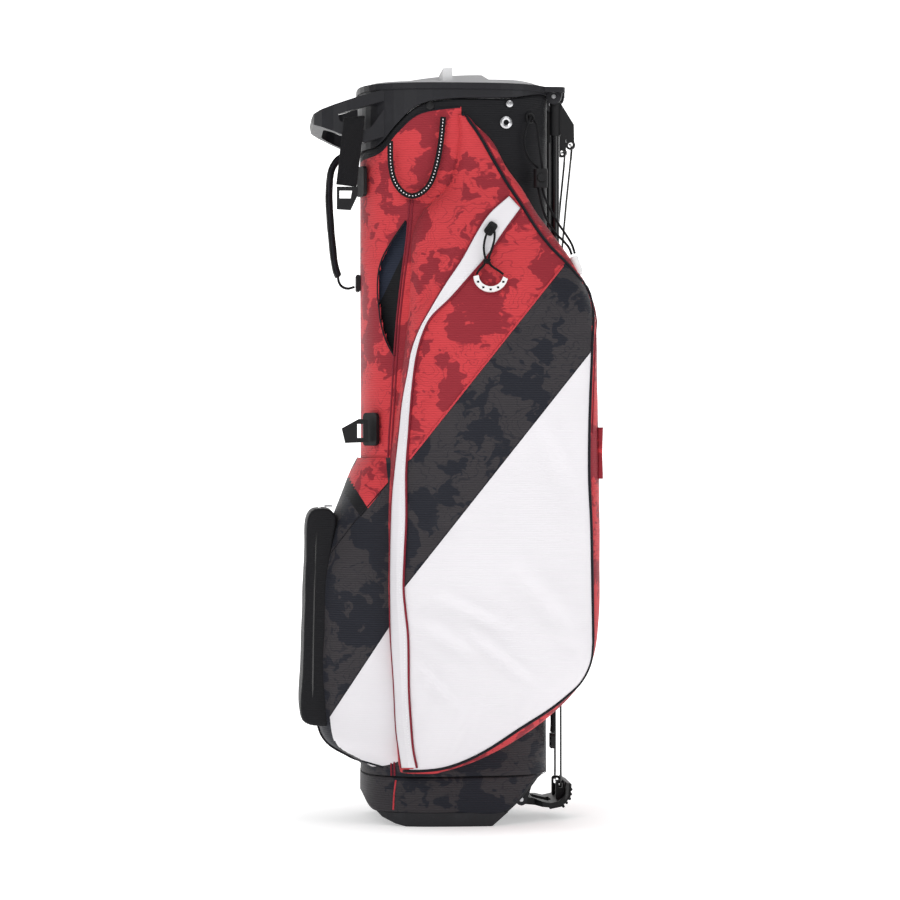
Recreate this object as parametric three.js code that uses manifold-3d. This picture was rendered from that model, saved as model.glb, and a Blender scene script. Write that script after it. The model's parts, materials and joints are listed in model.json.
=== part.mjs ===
// Golf stand bag: club tube, moulded collar and base, pockets, folding legs and their foot lever.
// Units are millimetres. +X points to the legs, -X to the spine, -Y to the near pocket, +Z up.
// The origin is the centre of the base's flat bottom.
import * as THREE from 'three';
import { mergeVertices } from 'three/addons/utils/BufferGeometryUtils.js';
import Module from 'manifold-3d';

const wasm = await Module();
wasm.setup();

// ---------------------------------------------------------------- driving dimensions
const gap = 0.4;                // clearance between pieces that touch

const rimHeight = 855;          // top of the collar above the floor
const tubeHalfX = 109;          // club tube, half width from spine to legs
const tubeHalfY = 94;           // club tube, half depth from pocket to pocket
const tubePower = 3;            // squareness of the tube's plan outline
const tubeWall = 3;
const seamX = 62;               // where the spine panel meets the side panels
const legSeamX = 80;            // where the leg panel meets the side panels

const collarProud = 3;          // collar stands out from the tube by this
const collarWall = 8;
const rimLip = 2;               // top band of the collar stands out further
const rimLipHeight = 7;

const handleReach = 59;         // lift handle, from the tube's spine side to its tip
const handleHalfY = 80;         // lift handle, half width
const handleBar = 14;           // thickness of the handle's bars seen from above
const handleCorner = 40;

const baseHeight = 57;
const baseWall = 4;
const baseFlatBack = -60;       // the flat bottom runs from here
const chamferInset = 70;        // to this far inside the tube's leg side, where the chamfer starts
const cuffThickness = 3.2;
const cuffBottom = 16;

const dividerRise = 20;         // the padded divider's crown above the rim
const dividerPad = 11;          // width of the padded divider bars
const dividerSheet = 2;
const stayRadius = 3;
const stayY = 40;

const legX = 8;                 // leg axis outside the tube
const legY = 42;                // leg axis from the middle
const legPivotDrop = 10;        // pivot below the rim
const legLength = 695;          // pivot to the tube's lower end
const legRadius = 4.7;
const legBore = 3.7;
const legSplay = THREE.MathUtils.degToRad(15);
const pinRadius = 2.5;
const pinClearance = 0.35;
const cheekThickness = 3.6;
const barrelRadius = 7;
const sleeveLength = 45;
const sleeveWall = 1.5;
const sleeveFit = 0.4;          // leg tube in its sleeve
const cheekFit = 0.9;           // sleeve between the cheeks of a leg bracket
const footRadius = 8;
const eyeletOut = 18;           // rod eyelet from the leg axis
const eyeletDrop = 56;          // and below the pivot
const rodRadius = 1.3;

const leverInset = 31;          // lever pivot inside the tube's leg side
const leverPivotZ = 24;
const leverHalfY = 46;
const leverHubHalfY = 30;
const leverHubRadius = 5.6;
const rodFootOut = 15.6;        // where the rods meet the lever, outside the tube
const rodFootZ = 40;

const pocketInnerY = 64;        // side pockets keep outside this plane, clear of the legs
const pocketDepth = 53;         // near pocket, face to the tube's side
const farPocketDepth = 38;
const pocketReach = 51;         // near pocket past the tube on the leg side
const flapThickness = 1.6;
const ballPocketReach = 54;     // ball pocket past the tube on the spine side
const accessoryHalfY = 55;

const strapWidth = 24;
const strapThickness = 2.4;
const clipThickness = 4;
const gripThickness = 9;
const gripHalfY = 13;
const loopWidth = 10;
const cordRadius = 1.4;

// ---------------------------------------------------------------- materials
function material(colour, roughness, metalness = 0) {
  return new THREE.MeshStandardMaterial({ color: colour, roughness, metalness });
}
const redFabric = material(0xb8323a, 0.85);
const darkFabric = material(0x2a2f3c, 0.85);
const blackFabric = material(0x17181b, 0.9);
const whiteFabric = material(0xdcdde0, 0.8);
const blackPlastic = material(0x1d1e21, 0.45);
const greyPlastic = material(0xc9cbd0, 0.55);
const rubber = material(0x111214, 0.8);
const blackMetal = material(0x0c0c0e, 0.2, 0.6);
const steel = material(0xb9bcc2, 0.3, 1);
const webbing = material(0x141518, 0.9);

// ---------------------------------------------------------------- solid helpers
function solid(geometry) {
  const bare = geometry.index ? geometry.toNonIndexed() : geometry.clone();
  bare.deleteAttribute('normal');
  bare.deleteAttribute('uv');
  const merged = mergeVertices(bare, 1e-4);
  return new wasm.Manifold(new wasm.Mesh({
    numProp: 3,
    vertProperties: merged.attributes.position.array,
    triVerts: Uint32Array.from(merged.index.array),
  }));
}

function shapeOf(manifold) {
  const mesh = manifold.getMesh();
  const geometry = new THREE.BufferGeometry();
  geometry.setAttribute('position', new THREE.BufferAttribute(mesh.vertProperties, 3));
  geometry.setIndex(new THREE.BufferAttribute(mesh.triVerts, 1));
  return geometry;
}

// Outline without the points that lie on a straight run.
function outline(points) {
  const kept = points.filter(([x, y], i) => {
    const [px, py] = points[(i + points.length - 1) % points.length];
    const [nx, ny] = points[(i + 1) % points.length];
    return Math.abs((x - px) * (ny - y) - (y - py) * (nx - x)) > 1e-4;
  });
  return new THREE.Shape(kept.map(([x, y]) => new THREE.Vector2(x, y)));
}

// Upright prism of a plan outline, from z0 to z1.
function upright(points, z0, z1) {
  const geometry = new THREE.ExtrudeGeometry(outline(points), { depth: z1 - z0, bevelEnabled: false });
  return geometry.translate(0, 0, z0);
}

// Prism of a side outline (x, z), from y0 to y1.
function sideways(points, y0, y1) {
  const geometry = new THREE.ExtrudeGeometry(outline(points), { depth: y1 - y0, bevelEnabled: false });
  return geometry.rotateX(Math.PI / 2).translate(0, y1, 0);
}

// Prism of a front outline (y, z), from x0 to x1.
function endways(points, x0, x1) {
  const geometry = new THREE.ExtrudeGeometry(outline(points), { depth: x1 - x0, bevelEnabled: false });
  return geometry.rotateX(Math.PI / 2).rotateZ(Math.PI / 2).translate(x0, 0, 0);
}

function box(x0, x1, y0, y1, z0, z1) {
  const geometry = new THREE.BoxGeometry(x1 - x0, y1 - y0, z1 - z0);
  return geometry.translate((x0 + x1) / 2, (y0 + y1) / 2, (z0 + z1) / 2);
}

// Cylinder along Y, as hinge pins and barrels are.
function cross(radius, y0, y1, x = 0, z = 0, sides = 18) {
  const geometry = new THREE.CylinderGeometry(radius, radius, y1 - y0, sides);
  return geometry.translate(x, (y0 + y1) / 2, z);
}

// Cylinder along Z.
function column(radius, z0, z1, x = 0, y = 0, sides = 18) {
  const geometry = new THREE.CylinderGeometry(radius, radius, z1 - z0, sides);
  return geometry.rotateX(Math.PI / 2).translate(x, y, (z0 + z1) / 2);
}

// Turned solid about Z from a closed (radius, z) profile.
function turned(profile, sides = 18) {
  const points = profile.map(([r, z]) => new THREE.Vector2(r, z));
  return new THREE.LatheGeometry(points, sides).rotateX(Math.PI / 2);
}

function tubeAlong(points, radius, steps, sides = 8) {
  const path = new THREE.CatmullRomCurve3(points.map((p) => new THREE.Vector3(...p)), false, 'centripetal');
  const section = new THREE.Shape();
  section.absarc(0, 0, radius, 0, Math.PI * 2);
  return new THREE.ExtrudeGeometry(section, {
    steps, extrudePath: path, curveSegments: sides / 2, bevelEnabled: false,
  });
}

// Flat strip that follows a side path (x, z), thick across the path and wide along Y.
function strip(points, thickness, y0, y1, samples = 24) {
  const path = new THREE.SplineCurve(points.map(([x, z]) => new THREE.Vector2(x, z)));
  const left = [];
  const right = [];
  for (let i = 0; i <= samples; i += 1) {
    const at = path.getPoint(i / samples);
    const along = path.getTangent(i / samples);
    left.push([at.x - along.y * thickness / 2, at.y + along.x * thickness / 2]);
    right.unshift([at.x + along.y * thickness / 2, at.y - along.x * thickness / 2]);
  }
  return sideways([...right, ...left].reverse(), y0, y1);
}

// Closed skin through rings that all have the same number of points, capped at both ends.
function loft(rings) {
  const count = rings[0].length;
  const positions = rings.flat(2);
  const index = [];
  rings.slice(1).forEach((ring, level) => {
    for (let i = 0; i < count; i += 1) {
      const a = level * count + i;
      const b = level * count + (i + 1) % count;
      index.push(a, b, b + count, a, b + count, a + count);
    }
  });
  const caps = [[0, true], [(rings.length - 1) * count, false]];
  caps.forEach(([start, flip]) => {
    for (let i = 1; i < count - 1; i += 1) {
      index.push(start, start + (flip ? i + 1 : i), start + (flip ? i : i + 1));
    }
  });
  const geometry = new THREE.BufferGeometry();
  geometry.setAttribute('position', new THREE.Float32BufferAttribute(positions, 3));
  geometry.setIndex(index);
  return geometry;
}

function superellipse(halfX, halfY, power, sides) {
  const points = [];
  for (let i = 0; i < sides; i += 1) {
    const angle = (i / sides) * Math.PI * 2;
    const c = Math.cos(angle);
    const s = Math.sin(angle);
    points.push([
      halfX * Math.sign(c) * Math.abs(c) ** (2 / power),
      halfY * Math.sign(s) * Math.abs(s) ** (2 / power),
    ]);
  }
  return points;
}

function roundedRectangle(x0, x1, y0, y1, radius, arcSteps = 4) {
  const corners = [[x1 - radius, y1 - radius, 0], [x0 + radius, y1 - radius, 1],
    [x0 + radius, y0 + radius, 2], [x1 - radius, y0 + radius, 3]];
  return corners.flatMap(([x, y, quarter]) => Array.from({ length: arcSteps + 1 }, (_, i) => {
    const angle = (quarter + i / arcSteps) * Math.PI / 2;
    return [x + radius * Math.cos(angle), y + radius * Math.sin(angle)];
  }));
}

// ---------------------------------------------------------------- the assembly
const bag = new THREE.Group();

function add(name, shape, finish, parent = bag) {
  const geometry = shape.getMesh ? shapeOf(shape) : shape;
  const mesh = new THREE.Mesh(geometry, finish);
  mesh.name = name;
  parent.add(mesh);
  return mesh;
}

// ---------------------------------------------------------------- club tube
const planSides = 44;
const plan = (grow) => superellipse(tubeHalfX + grow, tubeHalfY + grow, tubePower, planSides);
const tubeSideX = (y) => tubeHalfX * (1 - Math.abs(y / tubeHalfY) ** tubePower) ** (1 / tubePower);
const far = 400;                // farther than any cut reaches

// The collar's lower edge dips deep on the spine side; (x, drop below the rim).
const collarEdge = new THREE.SplineCurve([
  [-tubeHalfX - 30, 74], [-tubeHalfX, 74], [-tubeHalfX + 18, 70], [-tubeHalfX + 38, 47],
  [-tubeHalfX + 62, 26], [-tubeHalfX + 100, 18], [tubeHalfX - 50, 16], [tubeHalfX - 10, 9],
  [tubeHalfX + 30, 9],
].map(([x, drop]) => new THREE.Vector2(x, rimHeight - drop))).getPoints(36).map((p) => [p.x, p.y]);
const lastEdge = collarEdge[collarEdge.length - 1];

function belowCollar(shift) {
  const edge = collarEdge.map(([x, z]) => [x, z + shift]);
  return solid(sideways([...edge, [lastEdge[0], 0], [edge[0][0], 0]].reverse(), -far, far));
}

const tubeOuter = solid(upright(plan(0), baseHeight + gap, rimHeight));
const tubeInner = solid(upright(plan(-tubeWall), 0, rimHeight + 1));
const tubeShell = tubeOuter.subtract(tubeInner).intersect(belowCollar(-gap));
const keepClear = solid(upright(plan(gap), -1, rimHeight + far));

// Crescent mouth of the slit pocket, in the spine panel beside its near seam; (x, z).
const slitTop = rimHeight - 160;
const slitHeight = 154;
const slitWidth = 28;
const slitEdge = Array.from({ length: 13 }, (_, i) => {
  const t = i / 12;
  return [-seamX - slitWidth * Math.sin(Math.PI * t) ** 0.7, slitTop - slitHeight * t];
});
const slitMouth = solid(sideways([[-seamX + 1, slitTop], ...slitEdge, [-seamX + 1, slitTop - slitHeight]],
  -far, 0));

const spinePanel = tubeShell.intersect(solid(box(-far, -seamX, -far, far, -1, far * 3)));
add('tube_spine_panel', spinePanel.subtract(slitMouth), redFabric);
add('tube_leg_panel', tubeShell.intersect(solid(box(legSeamX, far, -far, far, -1, far * 3))), blackFabric);
add('tube_near_panel', tubeShell.intersect(
  solid(box(-seamX + gap, legSeamX - gap, -far, 0, -1, far * 3))), redFabric);
add('tube_far_panel', tubeShell.intersect(
  solid(box(-seamX + gap, legSeamX - gap, 0, far, -1, far * 3))), redFabric);

// Pouch behind the slit, inside the tube wall.
const pouchDepth = 15;
const pouchWall = 1.5;
const pouchMargin = 6;
function pouchBlock(outer, inner, margin) {
  const block = box(-seamX - slitWidth - margin, -seamX + pouchMargin + margin, -far, -tubeHalfY + 42 + margin,
    slitTop - slitHeight - margin, slitTop + margin);
  const ring = solid(upright(plan(outer), 0, rimHeight)).subtract(solid(upright(plan(inner), -1, rimHeight + 1)));
  return ring.intersect(solid(block));
}
const pouchFront = -tubeWall - gap;
const pouchHollow = pouchBlock(1, pouchFront - pouchDepth, 0);
add('slit_pocket_pouch', pouchBlock(pouchFront, pouchFront - pouchDepth - pouchWall, pouchWall)
  .subtract(pouchHollow), blackFabric);

// ---------------------------------------------------------------- collar with lift handle and leg brackets
const legPivotZ = rimHeight - legPivotDrop;
const legAxisX = tubeHalfX + legX;
const sleeveOuter = legRadius + sleeveFit + sleeveWall;
const cheekInner = sleeveOuter + cheekFit;  // half space between the cheeks of a leg bracket
const handleTip = -tubeHalfX - handleReach;
const shelfHalfY = legY + 22;
const shelfEnd = legAxisX + 10;
const shelfThickness = 6;

// Side outline of the handle (x, z), and the window that the strap passes through.
const handleRoot = -tubeHalfX;
const handleSide = [
  [handleRoot + 63, rimHeight], [handleRoot + 46, rimHeight - 1], [handleRoot - 3, rimHeight - 14],
  [handleTip + 10, rimHeight - 29], [handleTip + 2, rimHeight - 33], [handleTip, rimHeight - 38],
  [handleTip + 2, rimHeight - 45], [handleRoot - 22, rimHeight - 60], [handleRoot + 1, rimHeight - 68],
  [handleRoot + 26, rimHeight - 60], [handleRoot + 44, rimHeight - 30],
];
const handleWindow = [
  [handleRoot - 29, rimHeight - 35], [handleRoot + 33, rimHeight - 17], [handleRoot + 10, rimHeight - 49],
  [handleRoot + 3, rimHeight - 54], [handleRoot - 27, rimHeight - 43],
];
const handleOuter = roundedRectangle(handleTip, handleRoot + 70, -handleHalfY, handleHalfY, handleCorner);
const handleInner = roundedRectangle(handleTip + handleBar, handleRoot + 90, -handleHalfY + handleBar,
  handleHalfY - handleBar, handleCorner - handleBar);
const handle = solid(sideways([...handleSide].reverse(), -handleHalfY, handleHalfY))
  .subtract(solid(sideways([...handleWindow].reverse(), -far, far)))
  .intersect(solid(upright(handleOuter, 0, rimHeight + 1)))
  .subtract(solid(upright(handleInner, -1, rimHeight + 2)));

const collarBand = solid(upright(plan(collarProud), rimHeight - 80, rimHeight))
  .add(solid(upright(plan(collarProud + rimLip), rimHeight - rimLipHeight, rimHeight)))
  .subtract(belowCollar(0));
const shelf = solid(upright(roundedRectangle(tubeHalfX - 30, shelfEnd, -shelfHalfY, shelfHalfY, 8),
  rimHeight - shelfThickness, rimHeight));

// One leg bracket in the leg's own frame: pivot at the origin, axis along Y, outward along X.
function legFrame(side) {
  const frame = new THREE.Group();
  frame.position.set(legAxisX, side * legY, legPivotZ);
  frame.rotation.z = side * legSplay;
  frame.updateMatrix();
  return frame;
}
const legFrames = { near: legFrame(-1), far: legFrame(1) };

function cheek(y0) {
  const block = box(-9, 9.5, y0, y0 + cheekThickness, 0, legPivotDrop - 0.5);
  return solid(cross(9, y0, y0 + cheekThickness)).add(solid(block));
}
function inFrame(geometry, frame) {
  return solid(geometry.clone().applyMatrix4(frame.matrix));
}
function moved(manifold, frame) {
  return inFrame(shapeOf(manifold), frame);
}

let collar = collarBand.add(handle).add(shelf)
  .subtract(solid(upright(plan(collarProud - collarWall), 0, rimHeight + 2)));
Object.values(legFrames).forEach((frame) => {
  collar = collar.subtract(inFrame(box(-barrelRadius - 2, far, -cheekInner, cheekInner, -20, 40), frame));
  collar = collar.add(moved(cheek(cheekInner).add(cheek(-cheekInner - cheekThickness)), frame)
    .subtract(solid(upright(plan(gap), 0, rimHeight - 9.4))));
  collar = collar.subtract(inFrame(cross(pinRadius + pinClearance, -20, 20), frame));
});
add('top_collar', collar, blackPlastic);

// ---------------------------------------------------------------- dividers and stays inside the tube
const dividerOut = collarProud - collarWall - gap;
const dividerBottom = rimHeight - 24;
const wellBarX = -12;           // the cross bar sits a little toward the spine
const dividerSplitX = 40;

function crownZ(x) {
  const half = tubeHalfX + dividerOut;
  if (x < dividerSplitX) {
    return rimHeight + dividerRise * Math.max(0, 1 - ((x - 30) / (half + 30)) ** 2);
  }
  return rimHeight + 15 * Math.max(0, 1 - ((x - dividerSplitX) / (half - 30)) ** 4);
}
const crown = Array.from({ length: 25 }, (_, i) => {
  const x = -tubeHalfX + 8 + (i / 24) * (2 * tubeHalfX - 16);
  return [x, crownZ(x)];
});
const crownCut = solid(sideways([[-tubeHalfX + 8, 0], [tubeHalfX - 8, 0], ...[...crown].reverse()], -far, far));
const dividerRing = solid(upright(plan(dividerOut), dividerBottom, rimHeight + 3))
  .subtract(solid(upright(plan(dividerOut - 6), 0, rimHeight + far)));
const dividerBars = solid(box(-tubeHalfX, tubeHalfX, -dividerPad / 2, dividerPad / 2, dividerBottom, rimHeight + 40))
  .add(solid(box(wellBarX - dividerPad / 2, wellBarX + dividerPad / 2, -tubeHalfY, tubeHalfY,
    dividerBottom, rimHeight + 40)))
  .intersect(solid(upright(plan(dividerOut), 0, rimHeight + far)))
  .intersect(crownCut);
add('divider_top', dividerRing.add(dividerBars), greyPlastic);

const sheetPlan = solid(upright(plan(-tubeWall - pouchDepth - pouchWall - 2), 0, rimHeight));
const sheets = solid(box(-tubeHalfX, tubeHalfX, -dividerSheet / 2, dividerSheet / 2, baseHeight, dividerBottom - gap))
  .add(solid(box(wellBarX - dividerSheet / 2, wellBarX + dividerSheet / 2, -tubeHalfY, tubeHalfY,
    baseHeight, dividerBottom - gap)));
add('divider_sheets', sheets.intersect(sheetPlan), blackFabric);

[['near', -1], ['far', 1]].forEach(([name, side]) => {
  const x = -tubeSideX(stayY) + tubeWall + stayRadius + 1.5;
  add(`spine_stay_${name}`, column(stayRadius, baseHeight + gap, rimHeight - 82, x, side * stayY, 12),
    blackMetal);
});

// ---------------------------------------------------------------- base
const baseFlatFront = tubeHalfX - chamferInset;
const leverPivotX = tubeHalfX - leverInset;
const rodFootX = tubeHalfX + rodFootOut;
const chamferRise = 27;
const baseSide = [
  [-tubeHalfX + 8, baseHeight], [-tubeHalfX + 8, 32], [-tubeHalfX + 12, 20], [-tubeHalfX + 22, 10],
  [baseFlatBack - 12, 3], [baseFlatBack, 0], [baseFlatFront, 0], [baseFlatFront + 32, chamferRise],
  [baseFlatFront + 56, 52], [tubeHalfX - 3, baseHeight],
];
const hollowSide = [
  [-tubeHalfX + 8 + baseWall, baseHeight + 1], [-tubeHalfX + 8 + baseWall, 34], [-tubeHalfX + 28, 15],
  [baseFlatBack, 5], [baseFlatFront - 3, 5], [baseFlatFront + 28, chamferRise + 4],
  [baseFlatFront + 48, 52], [baseFlatFront + 50, baseHeight + 1],
];
const basePrism = solid(sideways(baseSide, -far, far));
const baseBody = basePrism.intersect(solid(upright(plan(-cuffThickness), -1, baseHeight)));
const baseRim = basePrism.intersect(solid(upright(plan(-0.5), -1, cuffBottom - gap)));
const baseHollow = solid(sideways(hollowSide, -far, far))
  .intersect(solid(upright(plan(-cuffThickness - baseWall), -1, far)));
function leverLug(y0) {
  const foot = [[leverPivotX - 7, leverPivotZ], [leverPivotX + 7, leverPivotZ],
    [baseFlatFront + 56, 56], [baseFlatFront + 40, 50], [baseFlatFront + 25, chamferRise + 2]];
  return solid(cross(7, y0, y0 + 5, leverPivotX, leverPivotZ)).add(solid(sideways(foot, y0, y0 + 5)));
}
const base = baseBody.add(baseRim).subtract(baseHollow)
  .add(leverLug(leverHubHalfY + gap + 0.4)).add(leverLug(-leverHubHalfY - gap - 5.4))
  .subtract(solid(cross(pinRadius + pinClearance, -far, far, leverPivotX, leverPivotZ)));
add('base_moulding', base, blackPlastic);

const cuffSide = [
  [-tubeHalfX, baseHeight - gap], [-tubeHalfX, 32], [-tubeHalfX + 12, cuffBottom],
  [baseFlatFront + 14, cuffBottom], [baseFlatFront + 32, chamferRise + 4], [baseFlatFront + 54, 54],
  [tubeHalfX, baseHeight - gap],
];
const cuff = solid(upright(plan(0), cuffBottom, baseHeight - gap))
  .subtract(solid(upright(plan(-cuffThickness + gap), 0, baseHeight)))
  .intersect(solid(sideways(cuffSide, -far, far)));
add('base_cuff', cuff, darkFabric);

// ---------------------------------------------------------------- side pockets
// Rows of a side pocket: height, spine edge, leg edge, share of the full depth.
const reach = tubeHalfX + pocketReach;
const pocketRows = [
  [68, -68, -20, 0.25], [90, -71, 28, 0.5], [118, -73, 72, 0.7], [150, -75, reach - 42, 0.86],
  [178, -77, reach - 14, 0.94], [203, -79, reach - 4, 0.98], [240, -81, reach, 1], [400, -79, reach - 1, 1],
  [500, -68, reach - 3, 1], [rimHeight - 265, -58, reach - 4, 0.95], [rimHeight - 235, -57, reach - 13, 0.84],
  [rimHeight - 205, -56, reach - 29, 0.73], [rimHeight - 175, -54, tubeHalfX + 1, 0.62],
  [rimHeight - 150, -44, tubeHalfX - 18, 0.52], [rimHeight - 121, -18, tubeHalfX - 35, 0.36],
  [rimHeight - 95, -8, tubeHalfX - 53, 0.24], [rimHeight - 65, -4, tubeHalfX - 69, 0.15],
  [rimHeight - 37, -2, tubeHalfX - 101, 0.08],
];
const pocketPower = 3;
const pocketSteps = 12;

function sidePocket(depth, grow) {
  const rings = pocketRows.map(([z, left, right, share]) => {
    const middle = (left + right) / 2;
    const half = (right - left) / 2 + grow;
    const out = tubeHalfY + depth * share - pocketInnerY + grow;
    const ring = [];
    for (let i = 0; i <= pocketSteps; i += 1) {
      const angle = (i / pocketSteps) * Math.PI;
      const c = Math.cos(angle);
      const x = middle - half * Math.sign(c) * Math.abs(c) ** (2 / pocketPower);
      const y = pocketInnerY + out * Math.abs(Math.sin(angle)) ** (2 / pocketPower);
      ring.push([x, -y, z]);
    }
    return ring;
  });
  return loft(rings);
}

function mirrored(geometry) {
  const flipped = geometry.clone().scale(1, -1, 1);
  const index = flipped.index.array;
  for (let i = 0; i < index.length; i += 3) {
    [index[i], index[i + 1]] = [index[i + 1], index[i]];
  }
  return flipped;
}

add('near_pocket', solid(sidePocket(pocketDepth, 0)).subtract(keepClear), redFabric);
add('far_pocket', solid(mirrored(sidePocket(farPocketDepth, 0))).subtract(keepClear), darkFabric);

// Zip flap: a skin on the near pocket, between two edges; (height, spine edge, leg edge).
const flapRows = [
  [70, -66, -52], [115, -74, -57], [172, -77, -60], [263, -82, -67], [376, -80, -64], [453, -70, -60],
  [524, -60, -56], [574, -47, -46], [610, -25, -22], [rimHeight - 206, 1, 22],
  [rimHeight - 172, 20, 38], [rimHeight - 142, 45, 58],
];
const flapOutline = [
  ...flapRows.map(([z, left]) => [left, z]),
  [tubeHalfX - 49, rimHeight - 137],
  ...[...flapRows].reverse().map(([z, , right]) => [right + 8, z]),
];
const flapSkin = solid(sidePocket(pocketDepth, gap + flapThickness))
  .subtract(solid(sidePocket(pocketDepth, gap))).subtract(solid(upright(plan(gap + 2), -1, rimHeight + far)));
add('zip_flap', flapSkin.intersect(solid(sideways([...flapOutline].reverse(), -far, -tubeHalfY + 24))),
  whiteFabric);

// Fabric sleeve on the leg-side gusset of the near pocket.
const sleeveTop = 459;
const sleeveDrop = 59;
const sleeveX = reach + 0.6;
const sleeveOutline = roundedRectangle(sleeveX, sleeveX + 8, -tubeHalfY - 22, -tubeHalfY + 4, 3.5, 3);
const sleeveInline = roundedRectangle(sleeveX + 1.4, sleeveX + 6.6, -tubeHalfY - 20.6, -tubeHalfY + 2.6, 2.2, 3);
add('gusset_sleeve', solid(upright(sleeveOutline, sleeveTop - sleeveDrop, sleeveTop))
  .subtract(solid(upright(sleeveInline, 0, sleeveTop + 1))), redFabric);

// Height of the near pocket's face in front of a point (x, z).
function pocketFace(x, z) {
  const upper = pocketRows.findIndex((row) => row[0] >= z);
  const [low, high] = [pocketRows[upper - 1], pocketRows[upper]];
  const t = (z - low[0]) / (high[0] - low[0]);
  const [, left, right, share] = low.map((value, i) => value + (high[i] - value) * t);
  const across = Math.abs((x - (left + right) / 2) / ((right - left) / 2));
  const out = tubeHalfY + pocketDepth * share - pocketInnerY;
  return -pocketInnerY - out * (1 - across ** pocketPower) ** (1 / pocketPower);
}

// Zip slider on the straight upper stretch of the flap, with its pull.
const sliderX = 34;
const sliderZ = rimHeight - 170;
const sliderStandOff = gap * 2 + flapThickness + 1.8;
const sliderY = pocketFace(sliderX, sliderZ) - sliderStandOff;
const sliderTurn = Math.atan2(56, 80);      // the stretch leans toward the legs going up
const sliderSpine = roundedRectangle(-1.6, 1.6, -5.5, 5.5, 1.5, 3);
const sliderGroup = new THREE.Group();
sliderGroup.position.set(sliderX, sliderY, sliderZ);
bag.add(sliderGroup);
add('zip_slider', solid(sideways(roundedRectangle(-5.5, 5.5, -8, 8, 3.5, 4), -2.6, 0))
  .add(solid(sideways(sliderSpine, -4.4, -1))), blackPlastic, sliderGroup).rotation.y = sliderTurn;

const pullDrop = 74;
const pullLean = Math.atan2(pocketFace(sliderX, sliderZ) - pocketFace(sliderX, sliderZ - pullDrop) - 4, pullDrop);
const pullGroup = new THREE.Group();
pullGroup.position.set(sliderX, sliderY - 6.6, sliderZ);
pullGroup.rotation.x = -pullLean;
bag.add(pullGroup);
const pullStrands = [
  [[-1, 0, 1], [-4, 0, -12], [-6.5, 0, -24], [-4.5, 0, -34], [-5, 0, -41]],
  [[1.5, 0, 1], [1.5, 0, -12], [-1.5, 0, -26], [-3.5, 0, -34], [-5, 0, -41]],
  [[-5, 0, -38], [-9, 0, -43], [-14, 0, -48], [-17, 0, -52]],
  [[-5, 0, -38], [1, 0, -44], [9, 0, -50], [14, 0, -54]],
];
add('zip_pull_cord', pullStrands.map((points) => solid(tubeAlong(points, 1.5, 6, 6)))
  .reduce((all, strand) => all.add(strand)), webbing, pullGroup);
const gripUPath = [[-17.8, -55.4], [-16.6, -61], [-12, -67], [-4, -70.5], [5, -69.5], [12, -64.5], [15.6, -57.6]];
add('zip_grip', strip(gripUPath, 6, -2.4, 2.4, 18), greyPlastic, pullGroup);

// ---------------------------------------------------------------- ball pocket and accessory pocket
// Rows of the ball pocket: height, how far it stands past the tube, half width.
const ballRows = [
  [62, -6, 78], [75, 14, 86], [92, 42, 91], [115, 51, 92], [200, ballPocketReach, 93], [290, 50, 93],
  [335, 38, 92], [372, 26, 91], [404, 13, 89], [424, 3, 84],
];
function ballPocket(grow) {
  const steps = 18;
  const root = seamX - tubeHalfX;
  return loft(ballRows.map(([z, out, halfY]) => Array.from({ length: steps + 1 }, (_, i) => {
    const angle = (i / steps) * Math.PI;
    const c = Math.cos(angle);
    const depth = (tubeHalfX + out + root + grow) * Math.sin(angle) ** (2 / 2.8);
    return [root - depth, (halfY + grow) * Math.sign(c) * Math.abs(c) ** (2 / 2.8), z];
  })));
}
const pocketSeamX = -tubeHalfX + 25;
add('ball_pocket', solid(ballPocket(0)).subtract(keepClear)
  .intersect(solid(box(-far, pocketSeamX, -far, far, 0, far * 2))), darkFabric);

const accessoryTop = 366;
const accessoryX = -tubeHalfX - ballPocketReach - 17;
const accessorySide = [
  [accessoryX + 8, accessoryTop - 9], [accessoryX + 4, 240], [accessoryX, 124], [accessoryX + 5, 117],
  [accessoryX + 30, 112], [accessoryX + 30, 240], [accessoryX + 43, accessoryTop - 12],
  [accessoryX + 34, accessoryTop],
];
add('accessory_pocket', solid(sideways(accessorySide, -accessoryHalfY, accessoryHalfY))
  .intersect(solid(endways(roundedRectangle(-accessoryHalfY, accessoryHalfY, 100, accessoryTop + 1, 14), -far, 0)))
  .subtract(solid(ballPocket(gap))), blackFabric);

const pullerX = -tubeHalfX - 38;
add('accessory_zip_pull', sideways(roundedRectangle(pullerX - 5, pullerX + 5, accessoryTop + gap,
  accessoryTop + 2.6, 1, 2), -14, -8), steel);

// ---------------------------------------------------------------- fittings on the near side
const nearFace = (x, grow = 0) => -(tubeHalfY + grow) * (1 - Math.abs(x / (tubeHalfX + grow)) ** tubePower)
  ** (1 / tubePower);

// Webbing loop that hangs from the collar binding; a strip in the face of the bag.
const loopPath = [[-79, -68], [-78, -98], [-73, -116], [-64, -127], [-54, -131], [-43, -127], [-33, -116],
  [-26, -96], [-21, -70], [-18, -40]];
const loopY = nearFace(-30, 0) - 5.5;
add('webbing_loop', strip(loopPath.map(([x, z]) => [x, rimHeight + z]), loopWidth, loopY - 2.4, loopY, 26), webbing);

function rivet(name, x, drop, radius, finish, side) {
  const y = nearFace(x, collarProud) - gap;
  const profile = [[0, 0], [radius, 0], [radius, 0.9], [radius * 0.6, 1.9], [0, 2.2]];
  const geometry = turned(profile, 20).rotateX(Math.PI / 2).rotateZ(side > 0 ? Math.PI : 0);
  add(name, geometry, finish).position.set(x, -side * y, rimHeight - drop);
}
rivet('near_rivet_black', -33, 27, 4.4, blackPlastic, -1);
rivet('near_rivet_steel', 59, 23.5, 3.9, steel, -1);
rivet('far_rivet_steel', 59, 23.5, 3.9, steel, 1);

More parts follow.
